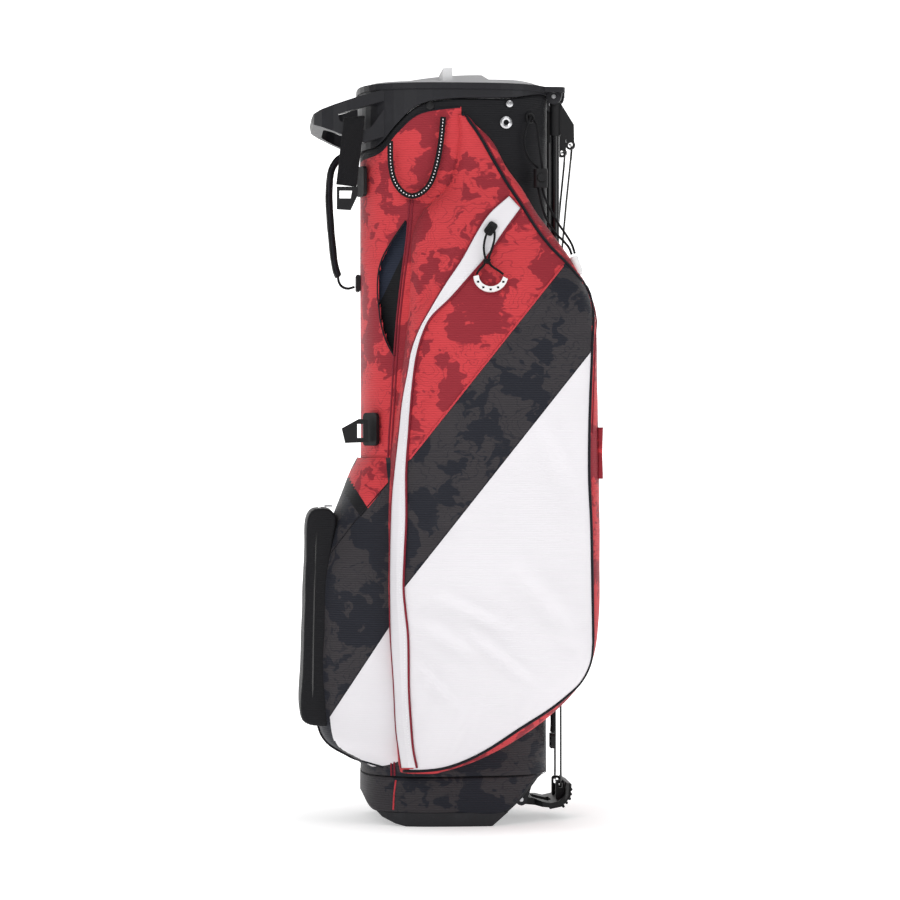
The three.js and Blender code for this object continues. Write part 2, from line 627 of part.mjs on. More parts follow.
const grommetX = 55;
const grommetZ = rimHeight - 45;
const grommetProfile = [[3.2, 0], [7, 0], [7, 1], [5, 2.4], [3.2, 1.6]];
add('grommet', turned([...grommetProfile, grommetProfile[0]], 24).rotateX(Math.PI / 2), steel)
  .position.set(grommetX, nearFace(grommetX - 7) - gap, grommetZ);

// Elastic cord, doubled through an eyelet and a cord lock, with its ends in one tip.
const eyeletX = tubeHalfX - 26;
const eyeletZ = rimHeight - 38;
const eyeletSpot = nearFace(eyeletX);
const eyeletTurn = Math.atan2(eyeletX ** 2 / tubeHalfX ** 3, eyeletSpot ** 2 / tubeHalfY ** 3);
const eyeletProfile = [[4.2, 0], [6.8, 0], [6.8, 0.8], [5.4, 1.9], [4.2, 1.5]];
add('cord_eyelet', turned([...eyeletProfile, eyeletProfile[0]], 20).rotateX(Math.PI / 2)
  .translate(0, -1.3, 0).rotateZ(eyeletTurn), blackPlastic).position.set(eyeletX, eyeletSpot, eyeletZ);

const lockX = tubeHalfX - 14;
const lockY = -88;
const lockZ = rimHeight - 109;
const lockHalfZ = 10.6;
const strandSpread = 2.4;
// Routes of the two strands; (x from the tube's leg side, y, drop below the rim).
const routed = (points) => points.map(([x, y, drop]) => [tubeHalfX + x, y, rimHeight - drop]);
const lockLane = lockX - tubeHalfX;
const spineStrand = [
  [-26, -78.2, 36.2], [-24.4, -81.8, 36.4], [-25, -85.5, 39], [-28, -88, 45], [-31.5, -88.8, 55],
  [-33, -89, 65], [-31.5, -89, 76], [-27, -89, 86], [-21, -88.6, 93], [-16.8, -88.1, 97],
  [lockLane - strandSpread, lockY, 102], [lockLane - strandSpread, lockY, 110], [lockLane - strandSpread, lockY, 119],
  [-14.6, -89, 129], [-11, -91, 145], [-5, -94, 161], [3, -98, 173], [11.5, -102, 182],
  [17.6, -104.6, 190], [20.4, -105.6, 197.6],
];
const legStrand = [
  [-24.4, -78.9, 39.6], [-21.5, -82.4, 41], [-18.7, -85.4, 45], [-17.2, -87.2, 52], [-16.2, -88, 63],
  [-14.4, -88.4, 77], [-12.6, -88.2, 88], [lockLane + strandSpread, lockY, 98], [lockLane + strandSpread, lockY, 109],
  [lockLane + strandSpread, lockY, 119], [-9, -89, 130], [-3.6, -91, 143], [2.5, -94, 155],
  [9, -97.4, 166], [15.6, -101, 176.4], [21, -104, 186.4], [24, -105.6, 196.4],
];
add('elastic_cord_spine_strand', tubeAlong(routed(spineStrand), cordRadius, 44), webbing);
add('elastic_cord_leg_strand', tubeAlong(routed(legStrand), cordRadius, 40), webbing);

const lockFront = lockY - 12;
const buttonRadius = 4.6;
const buttonTravel = 3;
add('cord_lock', solid(upright(roundedRectangle(lockX - 7.8, lockX + 7.8, lockFront, lockY + 6, 5, 4),
  lockZ - lockHalfZ, lockZ + lockHalfZ))
  .subtract(solid(box(lockX - strandSpread - 2.2, lockX + strandSpread + 2.2, lockY - 2, lockY + 2, 0, far * 3)))
  .subtract(solid(cross(buttonRadius + gap, lockFront - 1, lockFront + 4 + buttonTravel, lockX, lockZ, 20))),
blackPlastic);
add('cord_lock_button', cross(buttonRadius, lockFront - 3.4, lockFront + 3.4, lockX, lockZ, 20), blackPlastic);

const tipLength = 23;
const tipProfile = [[0, 0], [4.2, 0], [4.6, -1.2], [4.6, -tipLength + 4], [3.2, -tipLength + 0.8], [0, -tipLength]];
const tip = add('cord_tip', turned([...tipProfile].reverse(), 16), whiteFabric);
tip.position.set(tubeHalfX + 22.6, -106, rimHeight - 199.4);
tip.rotation.y = -0.34;

// ---------------------------------------------------------------- strap, clips and grab handle on the spine side
const strapX = handleRoot - 22;             // strap's spine edge where it passes over the handle
const strapTop = rimHeight - 38.4;
const strapBottom = rimHeight - 118;
const strapOut = -handleHalfY - 3.4;        // its outer face
const strapBack = -handleHalfY + handleBar + 4.8;
const strapLean = 0.12;
const strapLoop = [
  [strapOut, strapBottom], [strapOut + strapThickness, strapBottom], [strapOut + strapThickness, rimHeight - 95],
  [strapBack, rimHeight - 70], [strapBack, strapTop], [strapOut, strapTop],
];
const strapHole = [
  [strapOut + strapThickness, rimHeight - 90], [strapBack - strapThickness, rimHeight - 71],
  [strapBack - strapThickness, strapTop - strapThickness], [strapOut + strapThickness, strapTop - strapThickness],
];
const lean = new THREE.Matrix4().set(1, 0, strapLean, -strapLean * strapTop, 0, 1, 0, 0, 0, 0, 1, 0, 0, 0, 0, 1);
add('upper_strap', solid(endways(strapLoop, strapX, strapX + strapWidth).applyMatrix4(lean))
  .subtract(solid(endways(strapHole, strapX - 1, strapX + strapWidth + 1).applyMatrix4(lean))), webbing);

const clipY = strapOut - 1;
const clipZ = strapBottom - 1.2;            // hinge line of the upper clip
const clipX = strapX + strapWidth / 2 - strapLean * (strapTop - strapBottom);
const clipOutline = [[-11, 0], [13, 0], [13, -10], [5, -27], [-11, -26]];
const clipSlot = [[-8, -4.5], [6.5, -4.5], [5, -13.5], [-8, -13.5]];
const clipGroup = new THREE.Group();
clipGroup.position.set(clipX, clipY + clipThickness / 2, clipZ);
bag.add(clipGroup);
add('upper_clip', solid(sideways([...clipOutline].reverse(), -clipThickness / 2, clipThickness / 2))
  .subtract(solid(sideways([...clipSlot].reverse(), -far, far))), blackPlastic, clipGroup);

// Anchor plate that lies on the tube's rounded spine corner.
function anchorPlate(name, y, z, height, width) {
  const x = -tubeSideX(y);
  const nx = -(Math.abs(x) ** (tubePower - 1)) / tubeHalfX ** tubePower;
  const ny = Math.sign(y) * Math.abs(y) ** (tubePower - 1) / tubeHalfY ** tubePower;
  const plate = new THREE.ExtrudeGeometry(
    outline(roundedRectangle(-width / 2, width / 2, -height / 2, height / 2, 5, 4)),
    { depth: 4, bevelEnabled: false },
  );
  plate.rotateX(Math.PI / 2).rotateZ(Math.atan2(ny, nx) + Math.PI / 2).translate(x, y, z);
  const length = Math.hypot(nx, ny);
  plate.translate(nx / length * 2.2, ny / length * 2.2, 0);
  return add(name, solid(plate).subtract(keepClear), blackPlastic);
}
anchorPlate('upper_anchor', -44, rimHeight - 110, 35, 26);
const lowerAnchorZ = 457;
const lowerAnchorY = -64;
anchorPlate('lower_anchor', lowerAnchorY, lowerAnchorZ, 38, 26);

// Lower clip: a tab that hinges beside the anchor plate.
const lowerClipX = -tubeSideX(lowerAnchorY) - 11.5;
const lowerClipGroup = new THREE.Group();
lowerClipGroup.position.set(lowerClipX, lowerAnchorY - 6, lowerAnchorZ);
bag.add(lowerClipGroup);
const lowerOutline = [[4, 11], [-6, 12], [-26, 1], [-22, -16], [5, -15]];
const lowerSlot = [[-1, 6], [-8, 6], [-8, -10], [-1, -10]];
add('lower_clip', solid(sideways(lowerOutline, -clipThickness / 2, clipThickness / 2))
  .subtract(solid(sideways(lowerSlot, -far, far))), blackPlastic, lowerClipGroup);

const gripPath = [[-tubeHalfX - 5.2, rimHeight - 80], [-tubeHalfX - 22, rimHeight - 78],
  [-tubeHalfX - 33, rimHeight - 90], [-tubeHalfX - 37, rimHeight - 120], [-tubeHalfX - 35, rimHeight - 160],
  [-tubeHalfX - 30, rimHeight - 205], [-tubeHalfX - 26, rimHeight - 219]];
add('grab_handle', strip(gripPath, gripThickness, -gripHalfY, gripHalfY, 22), webbing);
const gripTiePath = [[-tubeHalfX - 25, rimHeight - 225], [-tubeHalfX - 22, rimHeight - 230],
  [-tubeHalfX - 15, rimHeight - 232], [-tubeHalfX - 7, rimHeight - 230]];
add('grab_handle_tie', strip(gripTiePath, 3, -5, 5, 10), webbing);
add('grab_handle_anchor', sideways(roundedRectangle(-tubeHalfX - 5.6, -tubeHalfX - gap, rimHeight - 236,
  rimHeight - 216, 2, 3), -11, 11), blackPlastic);

// Webbing and ladder-lock buckle at the foot of the leg panel.
const buckleY = -62;
const lowerStrapX = tubeHalfX + 3.5;
const buckleTop = 103;
add('lower_strap', strip([[lowerStrapX - 1, 128], [lowerStrapX + 0.6, 116], [lowerStrapX, buckleTop + 1]], 2.2,
  buckleY, buckleY + 20, 8), webbing);
const buckleSlots = [roundedRectangle(buckleY + 1, buckleY + 19, buckleTop - 7, buckleTop - 3, 1, 2),
  roundedRectangle(buckleY + 1, buckleY + 19, buckleTop - 14, buckleTop - 10, 1, 2)];
add('ladder_lock', buckleSlots.reduce(
  (plate, slot) => plate.subtract(solid(endways(slot, -far, far))),
  solid(endways(roundedRectangle(buckleY - 2, buckleY + 22, buckleTop - 17, buckleTop, 3, 3),
    lowerStrapX - 2.4, lowerStrapX + 2.4)),
), blackPlastic);

// ---------------------------------------------------------------- legs, rods and their springs
const barrelStart = -cheekInner + 0.5;
const barrelEnd = 2.4;
const legTop = 9;                           // the leg tube starts this far below its pivot

function legYoke() {
  const arm = [[2, -legTop + 2], [sleeveOuter, -legTop + 2], [eyeletOut + 4, -eyeletDrop + 24],
    [eyeletOut + 4.5, -eyeletDrop], [eyeletOut - 4.5, -eyeletDrop - 2], [eyeletOut - 5, -eyeletDrop + 6],
    [sleeveOuter - 1, -sleeveLength + 4], [2, -sleeveLength + 4]];
  return solid(cross(barrelRadius, barrelStart, barrelEnd))
    .add(solid(column(sleeveOuter, -sleeveLength, -6)))
    .add(solid(sideways(arm, -2.2, 2.2)))
    .add(solid(cross(5.6, -2.6, 2.6, eyeletOut, -eyeletDrop, 16)))
    .subtract(solid(column(legRadius + sleeveFit, -sleeveLength - 1, -legTop + 0.4)))
    .subtract(solid(cross(pinRadius + pinClearance, -far, far)))
    .subtract(solid(cross(rodRadius + 1.8, -far, far, eyeletOut, -eyeletDrop, 12)));
}

function legTubeProfile() {
  return [[legBore, -legTop], [legBore, -legLength], [legRadius, -legLength], [legRadius, -legTop],
    [legBore, -legTop]];
}

const footHeight = 34;
const footSeat = 24;
function legFoot() {
  const top = -legLength + footSeat;
  const bore = legRadius + 0.3;
  return turned([[bore, top], [bore, -legLength - gap], [0, -legLength - gap],
    [0, top - footHeight], [footRadius - 2, top - footHeight], [footRadius, top - footHeight + 4],
    [footRadius - 1, top - 10], [bore + 1.2, top], [bore, top]], 20);
}

function torsionSpring(side) {
  const turns = 3;
  const steps = turns * 8;
  const coilRadius = 4.9;
  const wire = 0.55;
  const start = barrelEnd + 0.4 + wire;
  const pitch = (cheekInner - 0.4 - wire - start) / turns;
  const points = Array.from({ length: steps + 1 }, (_, i) => {
    const angle = (i / 8) * Math.PI * 2;
    return [coilRadius * Math.cos(angle), side * (start + pitch * i / 8), coilRadius * Math.sin(angle)];
  });
  return tubeAlong(points, wire, steps, 6);
}

const rodPivot = [eyeletOut, -eyeletDrop];
function legRod(frame, side) {
  const foot = new THREE.Vector3(rodFootX, side * 33, rodFootZ).applyMatrix4(frame.matrix.clone().invert());
  const inward = -side;
  const lane = inward * 9.5;
  const hook = new THREE.Vector3(rodFootX, side * 19, rodFootZ).applyMatrix4(frame.matrix.clone().invert());
  const [ex, ez] = rodPivot;
  const toward = (share, lift) => [foot.x + (hook.x - foot.x) * share, foot.y + (hook.y - foot.y) * share,
    foot.z + lift];
  const topHook = [[ex, -inward * 4.5, ez], [ex, inward * 2, ez], [ex, inward * 6.5, ez - 0.6],
    [ex, inward * 9, ez - 2.6], [ex - 0.2, lane, ez - 6], [ex - 1, lane, ez - 16]];
  const shank = [[ex - 0.6, lane, ez - 12], [ex - 4, lane, ez - 44], [ex - 11, lane, ez - 118],
    [ex - 13, lane, ez - 180], toward(0, 40), toward(0, 8)];
  const footHook = [toward(0, 14), toward(0, 5), toward(0.12, 1.2), toward(0.35, 0), toward(0.7, 0), toward(1, 0)];
  return [[topHook, 10], [shank, 14], [footHook, 9]]
    .map(([points, steps]) => solid(tubeAlong(points, rodRadius, steps, 6)))
    .reduce((rod, piece) => rod.add(piece));
}

Object.entries(legFrames).forEach(([name, frame]) => {
  const side = name === 'near' ? -1 : 1;
  bag.add(frame);
  const turn = side < 0 ? (m) => m : (m) => solid(mirrored(shapeOf(m)));
  add(`${name}_leg_yoke`, turn(legYoke()), blackPlastic, frame);
  add(`${name}_leg_tube`, turned(legTubeProfile()), blackMetal, frame);
  add(`${name}_leg_foot`, legFoot(), rubber, frame);
  add(`${name}_leg_pin`, cross(pinRadius, -cheekInner - cheekThickness + 0.4, cheekInner + cheekThickness - 0.4),
    steel, frame);
  add(`${name}_leg_spring`, torsionSpring(-side), steel, frame);
  add(`${name}_rod`, legRod(frame, side), blackMetal, frame);
});

// ---------------------------------------------------------------- foot lever
const leverGroup = new THREE.Group();
leverGroup.position.set(leverPivotX, 0, leverPivotZ);
bag.add(leverGroup);
const toe = rodFootX - leverPivotX;
const plateSide = [
  [0, leverHubRadius], [-4, -2], [0, -leverHubRadius], [toe - 14, -8.5], [toe, -5.5], [toe + 8, 4],
  [toe + 9.5, 19], [toe + 6, 20], [toe + 4, 6], [toe - 3, -1], [toe - 14, -3.5], [8, 2.5],
];
const toeLug = sideways(roundedRectangle(toe - 5.2, toe + 5, -2, rodFootZ - leverPivotZ + 5.6, 3, 4), 0, 5);
const leverPlan = [[-8, -leverHubHalfY], [16, -leverHubHalfY], [24, -leverHalfY], [toe + 4, -leverHalfY],
  [toe + 11, -leverHalfY + 8], [toe + 11, leverHalfY - 8], [toe + 4, leverHalfY], [24, leverHalfY],
  [16, leverHubHalfY], [-8, leverHubHalfY]];
const rodSlot = sideways(roundedRectangle(toe - 2.9, toe + 3, rodFootZ - leverPivotZ - 3.6,
  rodFootZ - leverPivotZ + 3, 2, 4), -far, far);
const leverPlate = solid(sideways([...plateSide].reverse(), -leverHalfY, leverHalfY))
  .intersect(solid(upright(leverPlan, -40, 60)))
  .add(solid(cross(leverHubRadius, -leverHubHalfY, leverHubHalfY)))
  .add(solid(toeLug.clone().translate(0, 21, 0))).add(solid(toeLug.clone().translate(0, -26, 0)))
  .subtract(solid(rodSlot))
  .subtract(solid(cross(pinRadius + pinClearance, -far, far)))
  .subtract(solid(box(14, toe - 10, -18, 18, -40, 40)));
add('foot_lever', leverPlate, blackPlastic, leverGroup);
const padSide = [[toe - 13, -8.9], [toe + 0.2, -5.9], [toe + 8.4, 3.9], [toe + 9.9, 18.5], [toe + 12.4, 17.5],
  [toe + 11, 2.6], [toe + 1.4, -8.4], [toe - 13, -11.4]];
const padRibs = [[toe + 2.6, -8.2], [toe + 6.4, -4], [toe + 10, 0.6], [toe + 11.4, 6], [toe + 11.9, 11.5]];
let pad = solid(sideways([...padSide].reverse(), -leverHalfY + 9, leverHalfY - 9));
padRibs.forEach(([x, z]) => {
  pad = pad.add(solid(cross(1.7, -leverHalfY + 9, leverHalfY - 9, x, z, 10)));
});
add('lever_pad', pad, rubber, leverGroup);
add('lever_pin', cross(pinRadius, -leverHubHalfY - 6, leverHubHalfY + 6), steel, leverGroup);

export default bag;
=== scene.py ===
"""Golf stand bag: the fabric, webbing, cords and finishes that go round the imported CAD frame."""

import json
import math

import bmesh
import bpy
import numpy as np
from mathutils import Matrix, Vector, noise
from mathutils.bvhtree import BVHTree


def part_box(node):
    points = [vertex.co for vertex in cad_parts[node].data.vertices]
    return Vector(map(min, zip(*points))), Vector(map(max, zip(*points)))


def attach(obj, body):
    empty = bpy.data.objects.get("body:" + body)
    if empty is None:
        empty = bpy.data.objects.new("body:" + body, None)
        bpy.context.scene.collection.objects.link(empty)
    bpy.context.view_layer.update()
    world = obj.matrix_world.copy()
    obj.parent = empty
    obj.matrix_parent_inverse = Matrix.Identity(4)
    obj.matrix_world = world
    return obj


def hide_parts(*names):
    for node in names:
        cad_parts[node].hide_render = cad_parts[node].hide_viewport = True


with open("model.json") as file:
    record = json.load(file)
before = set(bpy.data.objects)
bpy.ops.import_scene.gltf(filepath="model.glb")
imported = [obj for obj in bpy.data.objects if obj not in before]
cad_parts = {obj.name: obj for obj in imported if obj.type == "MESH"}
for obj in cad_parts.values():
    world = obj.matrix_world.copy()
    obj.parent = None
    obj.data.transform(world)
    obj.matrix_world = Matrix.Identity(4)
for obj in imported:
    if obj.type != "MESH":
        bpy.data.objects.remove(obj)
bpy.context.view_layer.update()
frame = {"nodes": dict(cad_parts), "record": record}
nodes = frame["nodes"]

MM = 0.001
ROOT = "bag"

# Sizes of the frame that the fabric follows, in millimetres.
TUBE_X = 109
TUBE_Y = 94
TUBE_POWER = 3
BASE_TOP = 57
POCKET_INNER_Y = 64
NEAR_DEPTH = 53
FAR_DEPTH = 38

# ------------------------------------------------------------------ camera
CAMERA_AT = Vector((-0.2544, -3.5910, 0.433))
CAMERA_TURN = math.radians(-4)


def add_object(name, data):
    obj = bpy.data.objects.new(name, data)
    bpy.context.scene.collection.objects.link(obj)
    return obj


def make_camera():
    data = bpy.data.cameras.new("camera")
    data.sensor_width = 36
    data.lens = 122.04
    data.clip_end = 50
    camera = add_object("camera", data)
    camera.location = CAMERA_AT
    camera.rotation_euler = (math.radians(90), 0, CAMERA_TURN)
    bpy.context.scene.camera = camera


make_camera()


# ------------------------------------------------------------------ node helpers
class Shader:
    """A material under construction, with short calls for the nodes that most finishes share."""

    def __init__(self, name):
        self.material = bpy.data.materials.new(name)
        self.material.use_nodes = True
        self.tree = self.material.node_tree
        self.bsdf = self.tree.nodes["Principled BSDF"]
        self.coordinates = self.tree.nodes.new("ShaderNodeTexCoord").outputs["Object"]

    def node(self, kind, inputs=None, **settings):
        made = self.tree.nodes.new(kind)
        for key, value in settings.items():
            setattr(made, key, value)
        for key, value in (inputs or {}).items():
            if isinstance(value, bpy.types.NodeSocket):
                self.tree.links.new(value, made.inputs[key])
            else:
                made.inputs[key].default_value = value
        return made

    def math(self, operation, a, b=0.0, c=0.0):
        return self.node("ShaderNodeMath", {0: a, 1: b, 2: c}, operation=operation).outputs[0]

    def scaled(self, scale, vector=None):
        inputs = {"Vector": vector or self.coordinates, "Scale": scale}
        return self.node("ShaderNodeMapping", inputs).outputs[0]

    def noise(self, scale, detail=2.0, rough=0.5, distortion=0.0, vector=None):
        return self.node("ShaderNodeTexNoise", {
            "Vector": vector or self.coordinates, "Scale": scale, "Detail": detail,
            "Roughness": rough, "Distortion": distortion,
        }).outputs["Fac"]

    def step(self, value, edge, soft=0.01):
        """0 below edge, 1 above it."""
        return self.node("ShaderNodeMapRange", {
            "Value": value, "From Min": edge - soft, "From Max": edge + soft,
        }).outputs["Result"]

    def mix(self, share, a, b):
        return self.node("ShaderNodeMix", {0: share, 6: a, 7: b}, data_type="RGBA").outputs[2]

    def colour(self, socket):
        self.tree.links.new(socket, self.bsdf.inputs["Base Color"])

    def roughness(self, value, low, high):
        ranged = self.node("ShaderNodeMapRange", {"Value": value, "To Min": low, "To Max": high})
        self.tree.links.new(ranged.outputs["Result"], self.bsdf.inputs["Roughness"])

    def bump(self, height, distance, strength=1.0):
        made = self.node("ShaderNodeBump", {"Height": height, "Distance": distance, "Strength": strength})
        self.tree.links.new(made.outputs["Normal"], self.bsdf.inputs["Normal"])

    def set(self, **values):
        for key, value in values.items():
            self.bsdf.inputs[key.replace("_", " ")].default_value = value
        return self.material


def rgba(red, green, blue):
    return (red, green, blue, 1.0)


def toned(colour, share):
    return tuple(share * c for c in colour[:3]) + (1.0,)


def ripstop_height(shader, pitch=0.0026):
    """Horizontal ripstop ribs with a fine plain weave between them."""
    split = shader.node("ShaderNodeSeparateXYZ", {"Vector": shader.coordinates})
    turns = shader.math("MULTIPLY", split.outputs["Z"], 2 * math.pi / pitch)
    ribs = shader.math("SINE", turns)
    sharp = shader.math("POWER", shader.math("MULTIPLY_ADD", ribs, 0.5, 0.5), 3.0)
    grain = shader.noise(1500, 1.0, vector=shader.scaled((1.0, 1.0, 0.35)))
    return sharp, shader.math("MULTIPLY_ADD", grain, 0.5, sharp)


def camouflage(name, ground, blotch, line, rough):
    """Ripstop printed with warped blotches and thin contour lines."""
    shader = Shader(name)
    warp = shader.node("ShaderNodeTexNoise", {
        "Vector": shader.scaled((1.0, 1.0, 1.6)), "Scale": 26.0, "Detail": 2.5, "Roughness": 0.62,
    }).outputs["Color"]
    centred = shader.node("ShaderNodeVectorMath", {0: warp, 1: (0.5, 0.5, 0.5)}, operation="SUBTRACT")
    pushed = shader.node("ShaderNodeVectorMath", {0: centred.outputs[0], 1: (0.055, 0.055, 0.030)},
                         operation="MULTIPLY")
    warped = shader.node("ShaderNodeVectorMath", {0: shader.coordinates, 1: pushed.outputs[0]},
                         operation="ADD").outputs[0]
    patchy = shader.noise(27, 3.0, 0.55, vector=shader.scaled((1.1, 1.0, 0.85), warped))
    blots = shader.step(patchy, 0.515, 0.012)
    field = shader.noise(13, 1.5, vector=warped)
    rings = shader.math("PINGPONG", shader.math("MULTIPLY", field, 24.0), 0.5)
    thin = shader.math("SUBTRACT", 1.0, shader.step(rings, 0.07, 0.03))
    patches = shader.step(shader.noise(11, 1.0, vector=shader.scaled((1.0, 1.0, 1.3))), 0.47, 0.03)
    lines = shader.math("MULTIPLY", thin, patches)
    ribs, height = ripstop_height(shader)
    printed = shader.mix(shader.math("MULTIPLY", blots, 0.9), ground, blotch)
    lined = shader.mix(shader.math("MULTIPLY", lines, 0.6), printed, line)
    shade = toned(ground, 0.55)
    shader.colour(shader.mix(shader.math("MULTIPLY", ribs, 0.28), lined, shade))
    shader.roughness(shader.noise(240, 2.0), rough - 0.08, rough + 0.08)
    shader.bump(height, 0.00022)
    return shader.set(Sheen_Weight=0.05, Sheen_Roughness=0.5, Specular_IOR_Level=0.2)


def plain_ripstop(name, ground, rough, rib_share=0.12, depth=0.0002, pitch=0.0026):
    shader = Shader(name)
    ribs, height = ripstop_height(shader, pitch)
    tone = shader.math("MULTIPLY_ADD", shader.noise(9, 3.0), 0.12, 0.0)
    shade = toned(ground, 0.6)
    amount = shader.math("MULTIPLY_ADD", ribs, rib_share, tone)
    shader.colour(shader.mix(amount, ground, shade))
    shader.roughness(shader.noise(260, 2.0), rough - 0.07, rough + 0.07)
    shader.bump(height, depth)
    return shader.set(Sheen_Weight=0.03, Specular_IOR_Level=0.2)


def woven(name, ground, pitch, rough=0.75, depth=0.0004):
    """Webbing and braid: a diagonal twill that reads the same from every side."""
    shader = Shader(name)
    split = shader.node("ShaderNodeSeparateXYZ", {"Vector": shader.coordinates})
    across = shader.math("ADD", split.outputs["X"], split.outputs["Y"])
    up = shader.math("MULTIPLY", split.outputs["Z"], 2 * math.pi / pitch)
    first = shader.math("SINE", shader.math("MULTIPLY_ADD", across, 2 * math.pi / pitch, up))
    second = shader.math("SINE", shader.math("MULTIPLY_ADD", across, -2 * math.pi / pitch, up))
    height = shader.math("MAXIMUM", first, second)
    lit = toned(ground, 2.4)
    shader.colour(shader.mix(shader.math("MULTIPLY_ADD", height, 0.25, 0.25), ground, lit))
    shader.roughness(shader.noise(300, 2.0), rough - 0.08, rough + 0.08)
    shader.bump(height, depth)
    return shader.set(Sheen_Weight=0.03, Specular_IOR_Level=0.2)


def moulded(name, ground, rough, coat=0.0, texture=0.00006):
    """Moulded plastic with a fine spark texture and paler patches painted on as highlights."""
    shader = Shader(name)
    grain = shader.noise(2200, 2.0)
    # Paler patches placed by noise are painted highlights on the plastic.
    painted_highlight = shader.step(shader.noise(35, 5.0, 0.65), 0.62, 0.08)
    highlight_colour = tuple(min(1.0, 1.7 * c + 0.004) for c in ground[:3]) + (1.0,)
    shader.colour(shader.mix(shader.math("MULTIPLY", painted_highlight, 0.35), ground, highlight_colour))
    shader.roughness(shader.noise(90, 4.0), rough - 0.06, rough + 0.1)
    shader.bump(grain, texture)
    return shader.set(Coat_Weight=coat, Coat_Roughness=0.2, Specular_IOR_Level=0.32)


def metal(name, ground, rough, coat=0.0, metallic=1.0):
    shader = Shader(name)
    drawn = shader.noise(900, 2.0, vector=shader.scaled((1.0, 1.0, 0.04)))
    dark = toned(ground, 0.7)
    shader.colour(shader.mix(shader.math("MULTIPLY", drawn, 0.5), ground, dark))
    shader.roughness(drawn, rough - 0.05, rough + 0.1)
    shader.bump(drawn, 0.00002)
    return shader.set(Metallic=metallic, Coat_Weight=coat, Coat_Roughness=0.08)


RED = camouflage("red camouflage ripstop", rgba(0.60, 0.048, 0.058), rgba(0.24, 0.016, 0.028),
                 rgba(0.27, 0.018, 0.030), 0.62)
DARK = camouflage("dark camouflage ripstop", rgba(0.038, 0.034, 0.038), rgba(0.009, 0.011, 0.019),
                  rgba(0.012, 0.013, 0.020), 0.6)
WHITE = plain_ripstop("white coated fabric", rgba(0.825, 0.805, 0.835), 0.5, 0.03, 0.00008)
BLACK = plain_ripstop("black ripstop", rgba(0.007, 0.007, 0.009), 0.6, 0.5)
NAVY = plain_ripstop("navy lining", rgba(0.020, 0.026, 0.046), 0.6, 0.4)
RED_TRIM = woven("red piping", rgba(0.42, 0.035, 0.045), 0.0018, 0.65, 0.0002)
MAROON_TRIM = woven("maroon piping", rgba(0.16, 0.012, 0.022), 0.0018, 0.65, 0.0002)
DARK_TRIM = woven("dark piping", rgba(0.005, 0.005, 0.008), 0.0018, 0.6, 0.0002)
WEBBING = woven("black webbing", rgba(0.005, 0.005, 0.006), 0.0022)
BRAID = woven("black braid", rgba(0.004, 0.004, 0.005), 0.0012, 0.7, 0.0002)
THREAD = woven("white reflective thread", rgba(0.72, 0.72, 0.74), 0.0009, 0.45, 0.0001)
PAD = plain_ripstop("black knitted pad", rgba(0.007, 0.007, 0.008), 0.8, 0.3, 0.0003, 0.0016)
PLASTIC = moulded("black satin plastic", rgba(0.011, 0.011, 0.014), 0.46, 0.05)
SMALL_PLASTIC = moulded("black fitting plastic", rgba(0.005, 0.005, 0.006), 0.5, 0.0)
GREY = moulded("light grey padded plastic", rgba(0.70, 0.70, 0.71), 0.45)
WHITE_PLASTIC = moulded("white moulded rubber", rgba(0.86, 0.86, 0.86), 0.5)
RUBBER = moulded("black rubber", rgba(0.006, 0.006, 0.007), 0.7, 0.0, 0.00012)
LACQUER = metal("gloss black tube", rgba(0.006, 0.006, 0.007), 0.2, 0.6, 0.2)
STEEL = metal("plated steel", rgba(0.62, 0.62, 0.64), 0.25)


# ------------------------------------------------------------------ shape helpers
def run(line):
    """Length along a polyline up to each of its points."""
    return np.concatenate([[0], np.cumsum(np.linalg.norm(np.diff(line, axis=0), axis=1))])


def smooth(points, count):
    """An even polyline of count points on a centripetal Catmull-Rom curve, in any number of dimensions."""
    p = np.array(points, float)
    p = np.vstack([2 * p[0] - p[1], p, 2 * p[-1] - p[-2]])
    dense = []
    for i in range(1, len(p) - 2):
        knots = [0.0]
        for a, b in zip(p[i - 1:i + 2], p[i:i + 3]):
            knots.append(knots[-1] + max(np.linalg.norm(b - a), 1e-9) ** 0.5)
        t0, t1, t2, t3 = knots
        for t in np.linspace(t1, t2, 24, endpoint=False):
            a1 = (t1 - t) / (t1 - t0) * p[i - 1] + (t - t0) / (t1 - t0) * p[i]
            a2 = (t2 - t) / (t2 - t1) * p[i] + (t - t1) / (t2 - t1) * p[i + 1]
            a3 = (t3 - t) / (t3 - t2) * p[i + 1] + (t - t2) / (t3 - t2) * p[i + 2]
            b1 = (t2 - t) / (t2 - t0) * a1 + (t - t0) / (t2 - t0) * a2
            b2 = (t3 - t) / (t3 - t1) * a2 + (t - t1) / (t3 - t1) * a3
            dense.append((t2 - t) / (t2 - t1) * b1 + (t - t1) / (t2 - t1) * b2)
    dense.append(p[-2])
    dense = np.array(dense)
    along = run(dense)
    even = np.linspace(0, along[-1], count)
    return np.stack([np.interp(even, along, dense[:, k]) for k in range(dense.shape[1])], axis=1)


def box_mm(node):
    """The corners of a CAD piece's box, in millimetres."""
    return [np.array(c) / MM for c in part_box(node)]


def make_mesh(name, verts, faces, material, smooth_shaded=True):
    """A mesh object from points in millimetres."""
    mesh = bpy.data.meshes.new(name)
    mesh.from_pydata((np.array(verts, float) * MM).tolist(), [], [tuple(f) for f in faces])
    for made in material if isinstance(material, list) else [material]:
        mesh.materials.append(made)
    mesh.polygons.foreach_set("use_smooth", [smooth_shaded] * len(mesh.polygons))
    return add_object(name, mesh)


def settle(obj, body=ROOT, replaces=()):
    """Puts a finished piece on its CAD body."""
    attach(obj, body)
    if replaces:
        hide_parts(*replaces)
    return obj


